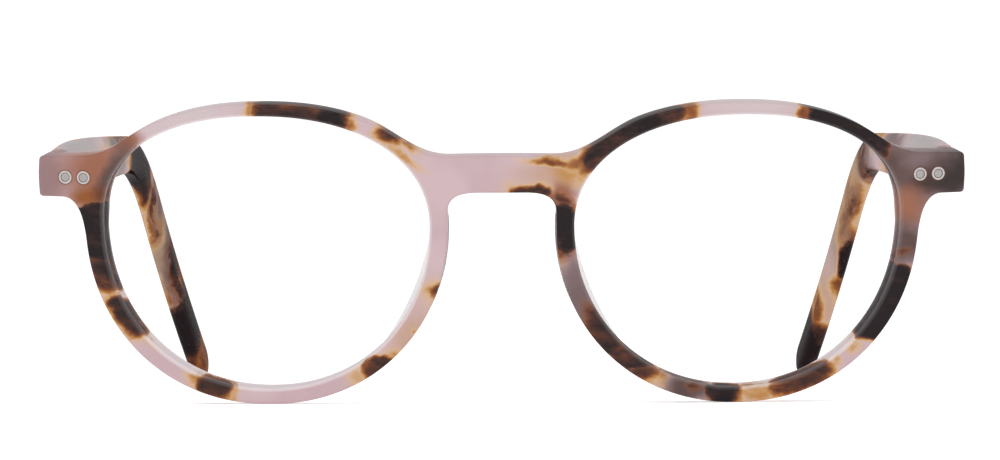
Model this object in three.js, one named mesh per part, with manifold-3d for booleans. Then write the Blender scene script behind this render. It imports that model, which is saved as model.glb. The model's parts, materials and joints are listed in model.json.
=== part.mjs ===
// Panto eyeglasses in tortoiseshell acetate, open and standing on a table.
// Millimetres, +Z up. The lenses face -Y and the wearer's left is +X.
// The front is drawn flat (u across, v up, w out of its face), then wrapped round the face.

import * as THREE from 'three';
import { mergeVertices } from 'three/addons/utils/BufferGeometryUtils.js';
import Module from 'manifold-3d';

const wasm = await Module();
wasm.setup();

// The lens shape, as an optician boxes it
const lensWidth = 48.6;
const lensHeight = 40.6;
const lensGap = 21.15;
const widestLineShare = 0.11;
const upperExponent = 2.2;
const lowerExponent = 2.1;
const lensTopOffset = 0.8;
const lensCantDegrees = 0.8;

// The front
const rimTop = 1.8;
const rimBottom = 2.3;
const rimSide = 2.7;
const rimTopOffset = 0.35;
const frontThickness = 4.2;
const faceRadius = 300;
const edgeRounding = 0.45;
const bridgeRise = 11.8;
const bridgeHeight = 5.3;
const bridgeCrown = 0.1;
const noseArchWidth = 15.2;
const pantoscopicDegrees = 7.3;

// The end pieces, one at each side of the front
const endReach = 7.3;
const endRise = 10.7;
const endHeight = 6;
const endThickness = 5.2;
const endTaper = 0.2;
const endBow = 0.35;
const endCorner = 0.6;

// The lenses and their grooves
const lensThickness = 1.8;
const lensDome = 1.3;
const bevelReach = 0.5;
const grooveDepth = 0.9;
const grooveWidth = 1.9;
const lensClearance = 0.2;

// The glued nose pads
const padTop = 5.5;
const padBottom = 15.5;
const padDepth = 6.2;
const padProud = 0.2;
const padSplay = 0.8;
const padThinShare = 0.8;
const glueGap = 0.1;

// The hinges, each of five barrels on two leaves
const barrelRadius = 1.2;
const barrelHeight = 0.82;
const barrelGap = 0.06;
const barrelCount = 5;
const neckWidth = 1;
const hingeStandoff = 1.9;
const hingeOffset = 1.95;
const hingeShift = 0.2;
const leafWidth = 5;
const leafLength = 8.6;
const leafHeight = 4.5;
const leafThickness = 1;
const leafClearance = 0.05;
const screwRadius = 0.55;
const screwHeadRadius = 1.05;
const screwHeadHeight = 0.75;
const slotWidth = 0.3;
const slotDepth = 0.3;
const runningClearance = 0.06;

// The rivets, two through each end piece and two through each temple
const rivetInset = 5.75;
const rivetSpacing = 2.75;
const rivetRadius = 0.5;
const rivetHeadRadius = 0.98;
const rivetHeadHeight = 0.5;
const rivetDiscRadius = 0.64;
const rivetRingHeight = 0.06;
const rivetClearance = 0.05;
const rivetSetback = 3;

// The temples and their wire cores
const templeLength = 145;
const templeThickness = 3.8;
const templeHeight = 6.8;
const tipThickness = 3.2;
const earStart = 82;
const earRadius = 30;
const earDegrees = 47;
const tipInset = 15.2;
const buttGap = 0.3;
const sectionExponent = 3;
const coreRadius = 0.5;
const coreClearance = 0.25;
const coreLift = 1.75;
const coreFront = 1;
const coreSetback = 9;

// Steps of the curves
const lensSteps = 56;
const footSteps = 35;
const browSteps = 14;
const blendSteps = 6;
const roundSteps = 12;
const sectionSteps = 14;
const coreSteps = 8;
const cornerSteps = 3;
const roundingSteps = 2;
const stations = 22;

// Colours
const tortoise = new THREE.MeshStandardMaterial({ color: 0xb58f7c, roughness: 0.28, metalness: 0 });
const blushPad = new THREE.MeshStandardMaterial({ color: 0xe9dcd4, roughness: 0.25, metalness: 0 });
const clearLens = new THREE.MeshStandardMaterial({
  color: 0xf4f8f8,
  roughness: 0.05,
  metalness: 0,
  transparent: true,
  opacity: 0.25,
});
const nickel = new THREE.MeshStandardMaterial({ color: 0xc9c8c4, roughness: 0.3, metalness: 1 });
const steel = new THREE.MeshStandardMaterial({ color: 0xb4b6ba, roughness: 0.25, metalness: 1 });

// Sizes that follow from the ones above
const lensCentre = (lensWidth + lensGap) / 2;
const rimEdge = lensCentre + lensWidth / 2 + rimSide;
const endEdge = rimEdge + endReach;
const rivetReach = endEdge - rivetInset;
const widestLine = lensHeight * widestLineShare;
const lensRise = lensHeight / 2 - widestLine;
const lensDrop = lensHeight / 2 + widestLine;
const bridgeTop = bridgeRise + bridgeHeight / 2;
const bridgeFoot = bridgeRise - bridgeHeight / 2;
const endTop = endRise + endHeight / 2;
const endFoot = endRise - endHeight / 2;
const lensDepth = frontThickness / 2;
const pantoscopic = THREE.MathUtils.degToRad(pantoscopicDegrees);
const stackHeight = barrelCount * barrelHeight + (barrelCount - 1) * barrelGap;
const frontToWorld = new THREE.Matrix4().makeRotationX(Math.PI / 2 + pantoscopic);

// Solids

function closed(geometry) {
  const bare = geometry.clone();
  bare.deleteAttribute('normal');
  bare.deleteAttribute('uv');
  return mergeVertices(bare);
}

function solidOf(geometry) {
  const shell = closed(geometry);
  return new wasm.Manifold(new wasm.Mesh({
    numProp: 3,
    vertProperties: new Float32Array(shell.attributes.position.array),
    triVerts: new Uint32Array(shell.index.array),
  }));
}

function geometryOf(solid) {
  const mesh = solid.getMesh();
  const geometry = new THREE.BufferGeometry();
  geometry.setAttribute('position', new THREE.BufferAttribute(mesh.vertProperties, 3));
  geometry.setIndex(new THREE.BufferAttribute(mesh.triVerts, 1));
  geometry.computeVertexNormals();
  return geometry;
}

function join(...geometries) {
  return geometryOf(geometries.map(solidOf).reduce((whole, piece) => whole.add(piece)));
}

function cut(geometry, ...cutters) {
  const whole = cutters.map(solidOf).reduce((left, piece) => left.subtract(piece), solidOf(geometry));
  return geometryOf(whole);
}

// A closed solid through rings of equal even count, each anticlockwise seen from the last one.
// Its ends are strips between a ring's first half and its second.
function loft(rings) {
  const count = rings[0].length;
  const points = rings.flat();
  const faces = [];
  for (let level = 0; level + 1 < rings.length; level += 1) {
    for (let step = 0; step < count; step += 1) {
      const here = level * count + step;
      const beside = level * count + (step + 1) % count;
      faces.push(here, beside, beside + count);
      faces.push(here, beside + count, here + count);
    }
  }
  for (const level of [0, rings.length - 1]) {
    for (let step = 0; step + 1 < count / 2; step += 1) {
      const near = [step, step + 1].map((place) => level * count + place);
      const far = [step, step + 1].map((place) => level * count + count - 1 - place);
      if (level) faces.push(near[0], near[1], far[1], near[0], far[1], far[0]);
      else faces.push(near[0], far[1], near[1], near[0], far[0], far[1]);
    }
  }
  const geometry = new THREE.BufferGeometry().setFromPoints(points);
  geometry.setIndex(faces);
  geometry.computeVertexNormals();
  return geometry;
}

function upright(radius, height) {
  return new THREE.CylinderGeometry(radius, radius, height, roundSteps).rotateX(Math.PI / 2);
}

// A turned piece whose axis is Z, from points of radius and height.
function turned(...profile) {
  const outline = profile.map(([radius, height]) => new THREE.Vector2(radius, height));
  return closed(new THREE.LatheGeometry(outline, roundSteps).rotateX(Math.PI / 2));
}

// The flat drawing of the front

// A point on the lens opening, or on an outline outside it by the given widths.
function panto(angle, side = 0, top = side, foot = side, topOffset = lensTopOffset) {
  const across = Math.cos(angle);
  const up = Math.sin(angle);
  const power = 2 / (up > 0 ? upperExponent : lowerExponent);
  const height = Math.abs(up) ** power;
  const offset = up > 0 ? topOffset * height : 0;
  const reach = Math.sign(across) * Math.abs(across) ** power * (lensWidth / 2 + side);
  const rise = up > 0 ? height * (lensRise + top) : -height * (lensDrop + foot);
  const point = new THREE.Vector2(lensCentre + reach + offset, widestLine + rise);
  return point.rotateAround(new THREE.Vector2(lensCentre, 0), THREE.MathUtils.degToRad(-lensCantDegrees));
}

function rimPoint(degrees) {
  return panto(THREE.MathUtils.degToRad(degrees), rimSide, rimTop, rimBottom, rimTopOffset);
}

function rimAim(degrees) {
  return rimPoint(degrees - 1).sub(rimPoint(degrees + 1)).normalize();
}

function rimArc(fromDegrees, toDegrees, steps) {
  const turn = (toDegrees - fromDegrees) / steps;
  return Array.from({ length: steps + 1 }, (_, step) => rimPoint(fromDegrees + turn * step));
}

// A smooth curve that leaves one point along its aim and arrives at the other along its aim.
function blend(from, fromAim, to, toAim, reachShare) {
  const reach = from.distanceTo(to) * reachShare;
  const leave = from.clone().addScaledVector(fromAim, reach);
  const arrive = to.clone().addScaledVector(toAim, -reach);
  return new THREE.CubicBezierCurve(from, leave, arrive, to).getPoints(blendSteps).slice(1, -1);
}

function corner(before, tip, after, radius) {
  const start = tip.clone().add(before.clone().sub(tip).setLength(radius));
  const end = tip.clone().add(after.clone().sub(tip).setLength(radius));
  return new THREE.QuadraticBezierCurve(start, tip, end).getPoints(cornerSteps);
}

// Angles where the outline leaves and joins the rim's own curve
const browDegrees = [121, 53];
const footDegrees = [-6, -174];
const noseDegrees = -182;
const browReachShare = 0.36;
const templeReachShare = 0.4;
const filletReachShare = 0.36;
const noseReachShare = 0.5;
const shoulderShare = 0.37;
const archShare = 0.22;
const endRootShare = 0.11;
const filletShare = 0.49;

// One half of the front's outline, from the top of the bridge over the rim to its underside.
function halfOutline() {
  const level = new THREE.Vector2(1, 0);
  const bridgeEdge = new THREE.Vector2(lensGap * shoulderShare, bridgeTop);
  const brow = rimPoint(browDegrees[0]);
  const browEnd = rimPoint(browDegrees[1]);
  const endRoot = new THREE.Vector2(rimEdge + endReach * endRootShare, endTop + endTaper);
  const topCorner = new THREE.Vector2(endEdge - endBow, endTop);
  const widest = new THREE.Vector2(endEdge, endRise);
  const footCorner = new THREE.Vector2(endEdge - endBow, endFoot);
  const fillet = new THREE.Vector2(rimEdge + endReach * filletShare, endFoot);
  const foot = rimPoint(footDegrees[0]);
  const nose = rimPoint(noseDegrees);
  const arch = new THREE.Vector2(noseArchWidth * archShare, bridgeFoot);
  const endAim = topCorner.clone().sub(endRoot).normalize();
  return [
    new THREE.Vector2(0, bridgeTop + bridgeCrown),
    bridgeEdge,
    ...blend(bridgeEdge, level, brow, rimAim(browDegrees[0]), browReachShare),
    ...rimArc(...browDegrees, browSteps),
    ...blend(browEnd, rimAim(browDegrees[1]), endRoot, endAim, templeReachShare),
    endRoot,
    ...corner(endRoot, topCorner, widest, endCorner),
    widest,
    ...corner(widest, footCorner, fillet, endCorner),
    fillet,
    ...blend(fillet, level.clone().negate(), foot, rimAim(footDegrees[0]), filletReachShare),
    ...rimArc(...footDegrees, footSteps),
    nose,
    ...blend(nose, rimAim(noseDegrees), arch, level.clone().negate(), noseReachShare),
    arch,
  ];
}

function lensRing(offset, height, share = 1) {
  return Array.from({ length: lensSteps }, (_, step) => {
    const edge = panto((step + 0.5) * 2 * Math.PI / lensSteps, offset);
    return new THREE.Vector3(
      lensCentre + (edge.x - lensCentre) * share,
      edge.y * share,
      height,
    );
  });
}

function mirror(geometry) {
  const copy = closed(geometry).scale(-1, 1, 1);
  copy.setIndex([...copy.index.array].reverse());
  return copy;
}

// Bends a flat drawn piece round the face.
function wrap(geometry) {
  const place = geometry.attributes.position;
  for (let index = 0; index < place.count; index += 1) {
    const angle = place.getX(index) / faceRadius;
    const radius = faceRadius + place.getZ(index);
    place.setX(index, radius * Math.sin(angle));
    place.setZ(index, radius * Math.cos(angle) - faceRadius);
  }
  geometry.computeVertexNormals();
  return geometry;
}

// The frame of a flat spot of the front once it is wrapped.
function onFront(u, v) {
  const angle = u / faceRadius;
  const turn = new THREE.Matrix4().makeRotationY(angle);
  return turn.setPosition(faceRadius * Math.sin(angle), v, faceRadius * (Math.cos(angle) - 1));
}

// How far the back is thickened at an end piece, from 0 on the rim to 1.
const thickStartShares = [0.42, 0.2];
const thickEndShares = [0.537, 0.37];

function endThickShare(u, v) {
  const across = THREE.MathUtils.smoothstep(
    Math.abs(u),
    lensCentre + lensWidth * thickStartShares[0],
    lensCentre + lensWidth * thickEndShares[0],
  );
  const up = THREE.MathUtils.smoothstep(v, lensRise * thickStartShares[1], lensRise * thickEndShares[1]);
  return across * up;
}

function frontBlank() {
  const half = halfOutline();
  const other = half.slice(1).reverse().map((point) => new THREE.Vector2(-point.x, point.y));
  const outline = new THREE.Shape([...half, ...other]);
  const opening = lensRing(0, 0).map((point) => new THREE.Vector2(point.x, point.y));
  const otherOpening = opening.map((point) => new THREE.Vector2(-point.x, point.y)).reverse();
  outline.holes.push(new THREE.Path(opening), new THREE.Path(otherOpening));
  const sheet = closed(new THREE.ExtrudeGeometry(outline, {
    depth: frontThickness - 2 * edgeRounding,
    bevelThickness: edgeRounding,
    bevelSize: edgeRounding,
    bevelOffset: -edgeRounding,
    bevelSegments: roundingSteps,
    curveSegments: 1,
  }));
  const place = sheet.attributes.position;
  for (let index = 0; index < place.count; index += 1) {
    const w = place.getZ(index) - (frontThickness - edgeRounding);
    const depthShare = -w / frontThickness;
    const extra = (endThickness - frontThickness) * endThickShare(place.getX(index), place.getY(index));
    place.setZ(index, w - extra * depthShare);
  }
  return sheet;
}

// The disc whose edge cuts the groove of one rim.
function grooveDisc() {
  const slope = grooveWidth / 2 / grooveDepth;
  const inset = grooveDepth;
  const half = slope * (grooveDepth + inset);
  return wrap(loft([
    lensRing(-inset, -lensDepth - half),
    lensRing(grooveDepth, -lensDepth),
    lensRing(-inset, -lensDepth + half),
  ]));
}

function makeLens() {
  const half = lensThickness / 2;
  const shares = [0.4, 0.75, 1];
  const face = (side, share) => (
    lensRing(-lensClearance, side * half - lensDepth + lensDome * (1 - share ** 2), share)
  );
  return wrap(loft([
    ...shares.map((share) => face(-1, share)),
    lensRing(bevelReach, -lensDepth),
    ...shares.map((share) => face(1, share)).reverse(),
  ]));
}

// The front, with its lens grooves, leaf pockets and rivet holes
const endFrame = onFront(rivetReach, endRise);

function endPocket() {
  const width = leafWidth + 2 * leafClearance;
  const height = leafHeight + 2 * leafClearance;
  const depth = 2 * (leafThickness + leafClearance);
  return new THREE.BoxGeometry(width, height, depth).translate(0, 0, -endThickness).applyMatrix4(endFrame);
}

function rivetCutter(length) {
  const shank = rivetRadius + rivetClearance;
  const head = rivetHeadRadius + rivetClearance;
  const floor = -rivetHeadHeight - rivetClearance;
  return turned([0, -length], [shank, -length], [shank, floor], [head, floor], [head, length], [0, length]);
}

function makeFront() {
  const cutters = [grooveDisc(), endPocket()];
  for (const side of [-1, 1]) {
    const hole = rivetCutter(endThickness).translate(side * rivetSpacing / 2, 0, 0);
    cutters.push(hole.applyMatrix4(endFrame));
  }
  return cut(wrap(frontBlank()), ...cutters, ...cutters.map(mirror));
}

// The pads are glued behind the nose side of each rim, thin out and splay away from the nose.
const padLevelShares = [0, 0.35, 0.7, 0.92, 1];
const padInsetShares = [0, 0.1, 0.3, 0.62, 0.85];
const padEndShare = 0.3;
const padSteps = 9;

function rimDegreesAt(height) {
  const up = height - widestLine;
  const above = up > 0;
  const reachUp = above ? lensRise + rimTop : lensDrop + rimBottom;
  const lift = (Math.abs(up) / reachUp) ** ((above ? upperExponent : lowerExponent) / 2);
  return 180 - Math.sign(up) * THREE.MathUtils.radToDeg(Math.asin(lift));
}

function makePad() {
  const from = THREE.MathUtils.degToRad(rimDegreesAt(padTop));
  const to = THREE.MathUtils.degToRad(rimDegreesAt(-padBottom));
  const rings = padLevelShares.map((level, index) => {
    const ring = [];
    for (const side of [0, 1]) {
      for (let step = 0; step <= padSteps; step += 1) {
        const along = side ? 1 - step / padSteps : step / padSteps;
        const hump = Math.sin(Math.PI * along);
        const angle = from + (to - from) * along;
        const nose = panto(angle, rimSide + padProud * hump, rimTop, rimBottom);
        const lens = panto(angle, edgeRounding / 2 - padSplay * level * hump);
        const edge = side ? lens : nose.lerp(lens, padInsetShares[index] * padThinShare);
        const body = padEndShare + (1 - padEndShare) * Math.sqrt(hump);
        ring.push(new THREE.Vector3(edge.x, edge.y, -frontThickness - glueGap - padDepth * level * body));
      }
    }
    return ring.reverse();
  });
  return wrap(loft(rings));
}

// Rivets, screw and hinge leaves

function makeRivet(length) {
  const rim = rivetHeadRadius - rivetRingHeight;
  return turned(
    [0, -length],
    [rivetRadius, -length],
    [rivetRadius, -rivetHeadHeight],
    [rivetHeadRadius, -rivetHeadHeight],
    [rivetHeadRadius, 0],
    [rim, rivetRingHeight],
    [rivetDiscRadius + rivetRingHeight, rivetRingHeight],
    [rivetDiscRadius, 0],
    [0, rivetRingHeight / 2],
  );
}

// The pin stands level behind the middle of the end piece's leaf.
const wrapAngle = rivetReach / faceRadius;
const hingeFrame = new THREE.Matrix4().multiplyMatrices(frontToWorld, endFrame);
const hingePlace = new THREE.Vector3(hingeShift, 0, -endThickness).applyMatrix4(hingeFrame);
hingePlace.x -= hingeStandoff * Math.sin(wrapAngle);
hingePlace.y += hingeStandoff * Math.cos(wrapAngle);

// Carries a piece drawn on the end piece to the pin's own upright frame.
const endToPin = hingeFrame.clone().setPosition(
  new THREE.Vector3().setFromMatrixPosition(hingeFrame).sub(hingePlace),
);

function barrelHeightAt(level) {
  return (level - (barrelCount - 1) / 2) * (barrelHeight + barrelGap);
}

// Every other barrel of the stack with the neck that ties it to its leaf, from the given level.
function barrels(firstLevel, neck) {
  const pieces = [];
  for (let level = firstLevel; level < barrelCount; level += 2) {
    const rise = barrelHeightAt(level);
    pieces.push(upright(barrelRadius, barrelHeight).translate(0, 0, rise));
    pieces.push(neck().translate(0, 0, rise));
  }
  return pieces;
}

function pinHole() {
  return upright(screwRadius + runningClearance, 2 * stackHeight);
}

function makeFrontLeaf() {
  const plate = new THREE.BoxGeometry(leafWidth, leafHeight, leafThickness);
  plate.translate(0, 0, leafThickness / 2 - endThickness).applyMatrix4(endToPin);
  const reach = hingeStandoff + leafThickness / 2;
  const neck = () => new THREE.BoxGeometry(neckWidth, reach, barrelHeight)
    .translate(0, -reach / 2, 0)
    .rotateZ(wrapAngle);
  const holes = [-1, 1].map((side) => upright(rivetRadius + rivetClearance, 4 * leafThickness)
    .translate(side * rivetSpacing / 2, 0, -endThickness)
    .applyMatrix4(endToPin));
  return cut(join(plate, ...barrels(0, neck)), pinHole(), ...holes);
}

function makeTempleLeaf() {
  const plate = new THREE.BoxGeometry(leafThickness, leafLength, leafHeight);
  plate.translate(hingeOffset + leafThickness / 2, leafLength / 2 - neckWidth / 2, 0);
  const reach = hingeOffset + leafThickness / 2;
  const neck = () => new THREE.BoxGeometry(reach, neckWidth, barrelHeight).translate(reach / 2, 0, 0);
  const holes = [0, 1].map((place) => upright(rivetRadius + rivetClearance, 4 * leafThickness)
    .rotateY(Math.PI / 2)
    .translate(hingeOffset, rivetSetback + place * rivetSpacing, 0));
  return cut(join(plate, ...barrels(1, neck)), pinHole(), ...holes);
}

function makeScrew() {
  const foot = -stackHeight / 2;
  const seat = stackHeight / 2 + runningClearance;
  const top = seat + screwHeadHeight;
  const shape = turned(
    [0, foot],
    [screwRadius, foot],
    [screwRadius, seat],
    [screwHeadRadius, seat],
    [screwHeadRadius, top - slotDepth],
    [screwHeadRadius - slotDepth, top],
    [0, top],
  );
  const slot = new THREE.BoxGeometry(4 * screwHeadRadius, slotWidth, 2 * slotDepth);
  return cut(shape, slot.translate(0, 0, top));
}

// The temple, in the pin's frame: X outward, Y back, Z up

const templeMiddle = hingeOffset + templeThickness / 2;
const earAngle = THREE.MathUtils.degToRad(earDegrees);

// Heights along the temple, as shares of its height at the hinge
const heightShares = [1, 1.12, 1.16, 1.13, 1.08, 1, 0.9, 0.82, 0.81, 0.85, 0.9, 0.88];

function heightShareAt(along) {
  const place = Math.min(Math.max(along, 0), 1) * (heightShares.length - 1);
  const index = Math.min(Math.floor(place), heightShares.length - 2);
  return THREE.MathUtils.lerp(heightShares[index], heightShares[index + 1], place - index);
}

// The centre line and its slope at a distance from the pin along the temple.
function templeAt(distance) {
  const round = earRadius * earAngle;
  const turn = Math.min(Math.max((distance - earStart) / earRadius, 0), earAngle);
  const tail = Math.max(distance - earStart - round, 0);
  const back = Math.min(distance, earStart) + earRadius * Math.sin(turn) + tail * Math.cos(earAngle);
  const drop = earRadius * (1 - Math.cos(turn)) + tail * Math.sin(earAngle);
  const inset = tipInset * Math.max(distance / templeLength, 0) ** 2;
  return { place: new THREE.Vector3(templeMiddle - inset, back, -drop), turn };
}

const tipRoundShares = [0.5, 0.8, 0.96];

// How far the end of the temple is rounded off at a distance from the pin, from 1 down to 0.
function tipRoundShare(distance) {
  const nose = templeHeight / 2;
  const into = Math.max(distance - templeLength + nose, 0) / nose;
  return Math.sqrt(Math.max(1 - into ** 2, 0));
}

function templeSection(distance, widthShare, height) {
  const { place, turn } = templeAt(distance);
  const width = THREE.MathUtils.lerp(templeThickness, tipThickness, distance / templeLength) * widthShare;
  return Array.from({ length: sectionSteps }, (_, step) => {
    const angle = (step + 0.5) * 2 * Math.PI / sectionSteps;
    const across = Math.sign(Math.cos(angle)) * Math.abs(Math.cos(angle)) ** (2 / sectionExponent);
    const up = Math.sign(Math.sin(angle)) * Math.abs(Math.sin(angle)) ** (2 / sectionExponent);
    return new THREE.Vector3(
      place.x - across * width / 2,
      place.y + up * height / 2 * Math.sin(turn),
      place.z + up * height / 2 * Math.cos(turn),
    );
  });
}

// Slides a ring forward onto the plane that faces the back of the end piece.
function ontoButt(ring) {
  const normal = new THREE.Vector3(0, 0, -1).transformDirection(endToPin);
  const start = new THREE.Vector3(0, 0, -endThickness - buttGap).applyMatrix4(endToPin);
  return ring.map((point) => {
    const ahead = normal.dot(start.clone().sub(point)) / normal.y;
    return point.clone().setY(point.y + ahead);
  });
}

// The wire passes over the rivets, then sinks to the middle of the temple.
function coreLine(radius, from, to) {
  const rings = [];
  for (let station = 0; station <= stations; station += 1) {
    const distance = THREE.MathUtils.lerp(from, to, station / stations);
    const { place, turn } = templeAt(distance);
    const clear = rivetSetback + rivetSpacing + rivetHeadRadius;
    const lift = coreLift * (1 - THREE.MathUtils.smoothstep(distance, clear, clear + 2 * rivetSpacing));
    rings.push(Array.from({ length: coreSteps }, (_, step) => {
      const angle = step * 2 * Math.PI / coreSteps;
      const up = lift + radius * Math.sin(angle);
      return new THREE.Vector3(
        place.x - radius * Math.cos(angle),
        place.y + up * Math.sin(turn),
        place.z + up * Math.cos(turn),
      );
    }));
  }
  return loft(rings);
}

function makeTemple() {
  const rings = [ontoButt(templeSection(0, 1, templeHeight))];
  const nose = templeHeight / 2;
  for (let station = 1; station <= stations; station += 1) {
    const distance = (templeLength - nose) * station / stations;
    rings.push(templeSection(distance, 1, templeHeight * heightShareAt(distance / templeLength)));
  }
  for (const into of tipRoundShares) {
    const distance = templeLength - nose + nose * into;
    const round = tipRoundShare(distance);
    const height = templeHeight * heightShareAt(distance / templeLength) * round;
    rings.push(templeSection(distance, Math.sqrt(round), height));
  }
  const pocketLength = 2 * leafLength;
  const pocket = new THREE.BoxGeometry(
    2 * (leafThickness + leafClearance),
    pocketLength,
    leafHeight + 2 * leafClearance,
  );
  pocket.translate(hingeOffset, leafLength - neckWidth / 2 + leafClearance - pocketLength / 2, 0);
  const holes = [0, 1].map((place) => rivetCutter(templeThickness)
    .rotateY(Math.PI / 2)
    .translate(hingeOffset + templeThickness, rivetSetback + place * rivetSpacing, 0));
  const boreEnd = templeLength - coreSetback + coreClearance;
  const bore = coreLine(coreRadius + coreClearance, -hingeStandoff - templeThickness, boreEnd);
  return cut(loft(rings), pocket, bore, ...holes);
}

function makeCore() {
  return coreLine(coreRadius, coreFront, templeLength - coreSetback);
}

// Assembly

function piece(name, geometry, material) {
  const mesh = new THREE.Mesh(geometry, material.clone());
  mesh.name = name;
  return mesh;
}

function frontRivets(side) {
  return ['inner', 'outer'].map((place, index) => {
    const rivet = piece(`${side}_front_rivet_${place}`, makeRivet(endThickness), nickel);
    rivet.position.x = (index - 0.5) * rivetSpacing;
    rivet.applyMatrix4(endFrame);
    return rivet;
  });
}

function templeRivets(side) {
  return ['front', 'rear'].map((place, index) => {
    const rivet = piece(`${side}_temple_rivet_${place}`, makeRivet(templeThickness), nickel);
    rivet.position.set(hingeOffset + templeThickness, rivetSetback + index * rivetSpacing, 0);
    rivet.rotation.y = Math.PI / 2;
    return rivet;
  });
}

// Everything that comes once for each eye; the wearer's right is its mirror image.
function sideOf(side) {
  const lensGroup = new THREE.Group();
  lensGroup.rotation.x = Math.PI / 2 + pantoscopic;
  lensGroup.add(piece(`${side}_lens`, makeLens(), clearLens));
  lensGroup.add(piece(`${side}_nose_pad`, makePad(), blushPad));
  lensGroup.add(...frontRivets(side));
  const hinge = new THREE.Group();
  hinge.name = `${side}_hinge`;
  hinge.position.copy(hingePlace);
  hinge.add(piece(`${side}_front_hinge_leaf`, makeFrontLeaf(), nickel));
  hinge.add(piece(`${side}_hinge_screw`, makeScrew(), steel));
  const temple = new THREE.Group();
  temple.name = `${side}_folding_temple`;
  temple.add(piece(`${side}_temple`, makeTemple(), tortoise));
  temple.add(piece(`${side}_temple_core`, makeCore(), steel));
  temple.add(piece(`${side}_temple_hinge_leaf`, makeTempleLeaf(), nickel));
  temple.add(...templeRivets(side));
  hinge.add(temple);
  const group = new THREE.Group();
  group.add(lensGroup, hinge);
  group.scale.x = side === 'left' ? 1 : -1;
  return group;
}

const worn = new THREE.Group();
const front = piece('front', makeFront(), tortoise);
front.rotation.x = Math.PI / 2 + pantoscopic;
worn.add(front, sideOf('left'), sideOf('right'));
worn.updateMatrixWorld(true);

// Lowest point of the named meshes once the glasses are pitched back.
function lowest(names, pitch) {
  let low = Infinity;
  worn.traverse((mesh) => {
    if (!mesh.isMesh || !names.includes(mesh.name)) return;
    const place = mesh.geometry.attributes.position;
    const point = new THREE.Vector3();
    for (let index = 0; index < place.count; index += 1) {
      point.fromBufferAttribute(place, index).applyMatrix4(mesh.matrixWorld);
      low = Math.min(low, point.y * Math.sin(pitch) + point.z * Math.cos(pitch));
    }
  });
  return low;
}

// The pitch at which the rims and the temple tips stand on one table.
function restPitch() {
  let low = -Math.PI / 8;
  let high = Math.PI / 8;
  while (high - low > 1e-7) {
    const middle = (low + high) / 2;
    if (lowest(['left_temple'], middle) < lowest(['front'], middle)) low = middle;
    else high = middle;
  }
  return (low + high) / 2;
}

const eyeglasses = new THREE.Group();
eyeglasses.name = 'eyeglasses';
eyeglasses.add(worn);
worn.rotation.x = restPitch();
const box = new THREE.Box3().setFromObject(eyeglasses, true);
worn.position.y = -(box.min.y + box.max.y) / 2;
worn.position.z = -box.min.z;

export default eyeglasses;
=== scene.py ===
import json
import math

import bpy
import numpy as np
from mathutils import Matrix, Vector
from mathutils.geometry import delaunay_2d_cdt


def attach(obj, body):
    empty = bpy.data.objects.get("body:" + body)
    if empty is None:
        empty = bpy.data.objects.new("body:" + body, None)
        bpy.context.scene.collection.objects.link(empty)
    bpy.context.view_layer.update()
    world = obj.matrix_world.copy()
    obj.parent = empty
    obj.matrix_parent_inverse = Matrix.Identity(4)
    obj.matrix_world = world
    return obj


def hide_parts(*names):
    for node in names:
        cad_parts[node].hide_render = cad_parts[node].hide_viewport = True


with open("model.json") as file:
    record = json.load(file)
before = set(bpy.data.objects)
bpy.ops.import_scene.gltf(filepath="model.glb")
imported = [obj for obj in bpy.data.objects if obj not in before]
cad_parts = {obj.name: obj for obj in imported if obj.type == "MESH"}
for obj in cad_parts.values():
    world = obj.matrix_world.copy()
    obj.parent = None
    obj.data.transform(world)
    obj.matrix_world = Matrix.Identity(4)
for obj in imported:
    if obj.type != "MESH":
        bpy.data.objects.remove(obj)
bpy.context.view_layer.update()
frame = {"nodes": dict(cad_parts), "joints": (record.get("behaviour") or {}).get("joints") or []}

SIDES = ("left", "right")

# Sizes of the part in millimetres, as it was drawn
MM = 0.001
LENS_WIDTH = 48.6
LENS_HEIGHT = 40.6
LENS_GAP = 21.15
WIDEST_LINE_SHARE = 0.11
UPPER_EXPONENT = 2.2
LOWER_EXPONENT = 2.1
LENS_TOP_OFFSET = 0.8
LENS_CANT = math.radians(0.8)
RIM_TOP = 1.8
RIM_BOTTOM = 2.3
RIM_SIDE = 2.7
RIM_TOP_OFFSET = 0.35
FRONT_THICKNESS = 4.2
FACE_RADIUS = 300.0
EDGE_ROUNDING = 0.45
BRIDGE_RISE = 11.8
BRIDGE_HEIGHT = 5.3
BRIDGE_CROWN = 0.1
NOSE_ARCH_WIDTH = 15.2
PANTOSCOPIC = math.radians(7.3)
END_REACH = 7.3
END_RISE = 10.7
END_HEIGHT = 6.0
END_THICKNESS = 5.2
END_TAPER = 0.2
END_BOW = 0.35
END_CORNER = 0.6
LENS_THICKNESS = 1.8
LENS_DOME = 1.3
BEVEL_REACH = 0.5
GROOVE_DEPTH = 0.9
GROOVE_WIDTH = 1.9
LENS_CLEARANCE = 0.2
PAD_TOP = 5.5
PAD_BOTTOM = 15.5
PAD_DEPTH = 6.2
PAD_PROUD = 0.2
PAD_SPLAY = 0.8
PAD_THIN_SHARE = 0.8
BARREL_RADIUS = 1.2
BARREL_HEIGHT = 0.82
BARREL_GAP = 0.06
BARREL_COUNT = 5
NECK_WIDTH = 1.0
HINGE_STANDOFF = 1.9
HINGE_OFFSET = 1.95
HINGE_SHIFT = 0.2
HINGE_EASE = 0.08
LEAF_WIDTH = 5.0
LEAF_LENGTH = 8.6
LEAF_HEIGHT = 4.5
LEAF_THICKNESS = 1.0
LEAF_CLEARANCE = 0.05
SCREW_RADIUS = 0.55
SCREW_HEAD_RADIUS = 1.05
SCREW_HEAD_HEIGHT = 0.75
SLOT_WIDTH = 0.3
SLOT_DEPTH = 0.3
RUNNING_CLEARANCE = 0.06
RIVET_INSET = 5.75
RIVET_SPACING = 2.75
RIVET_RADIUS = 0.5
RIVET_HEAD_RADIUS = 0.98
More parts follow.
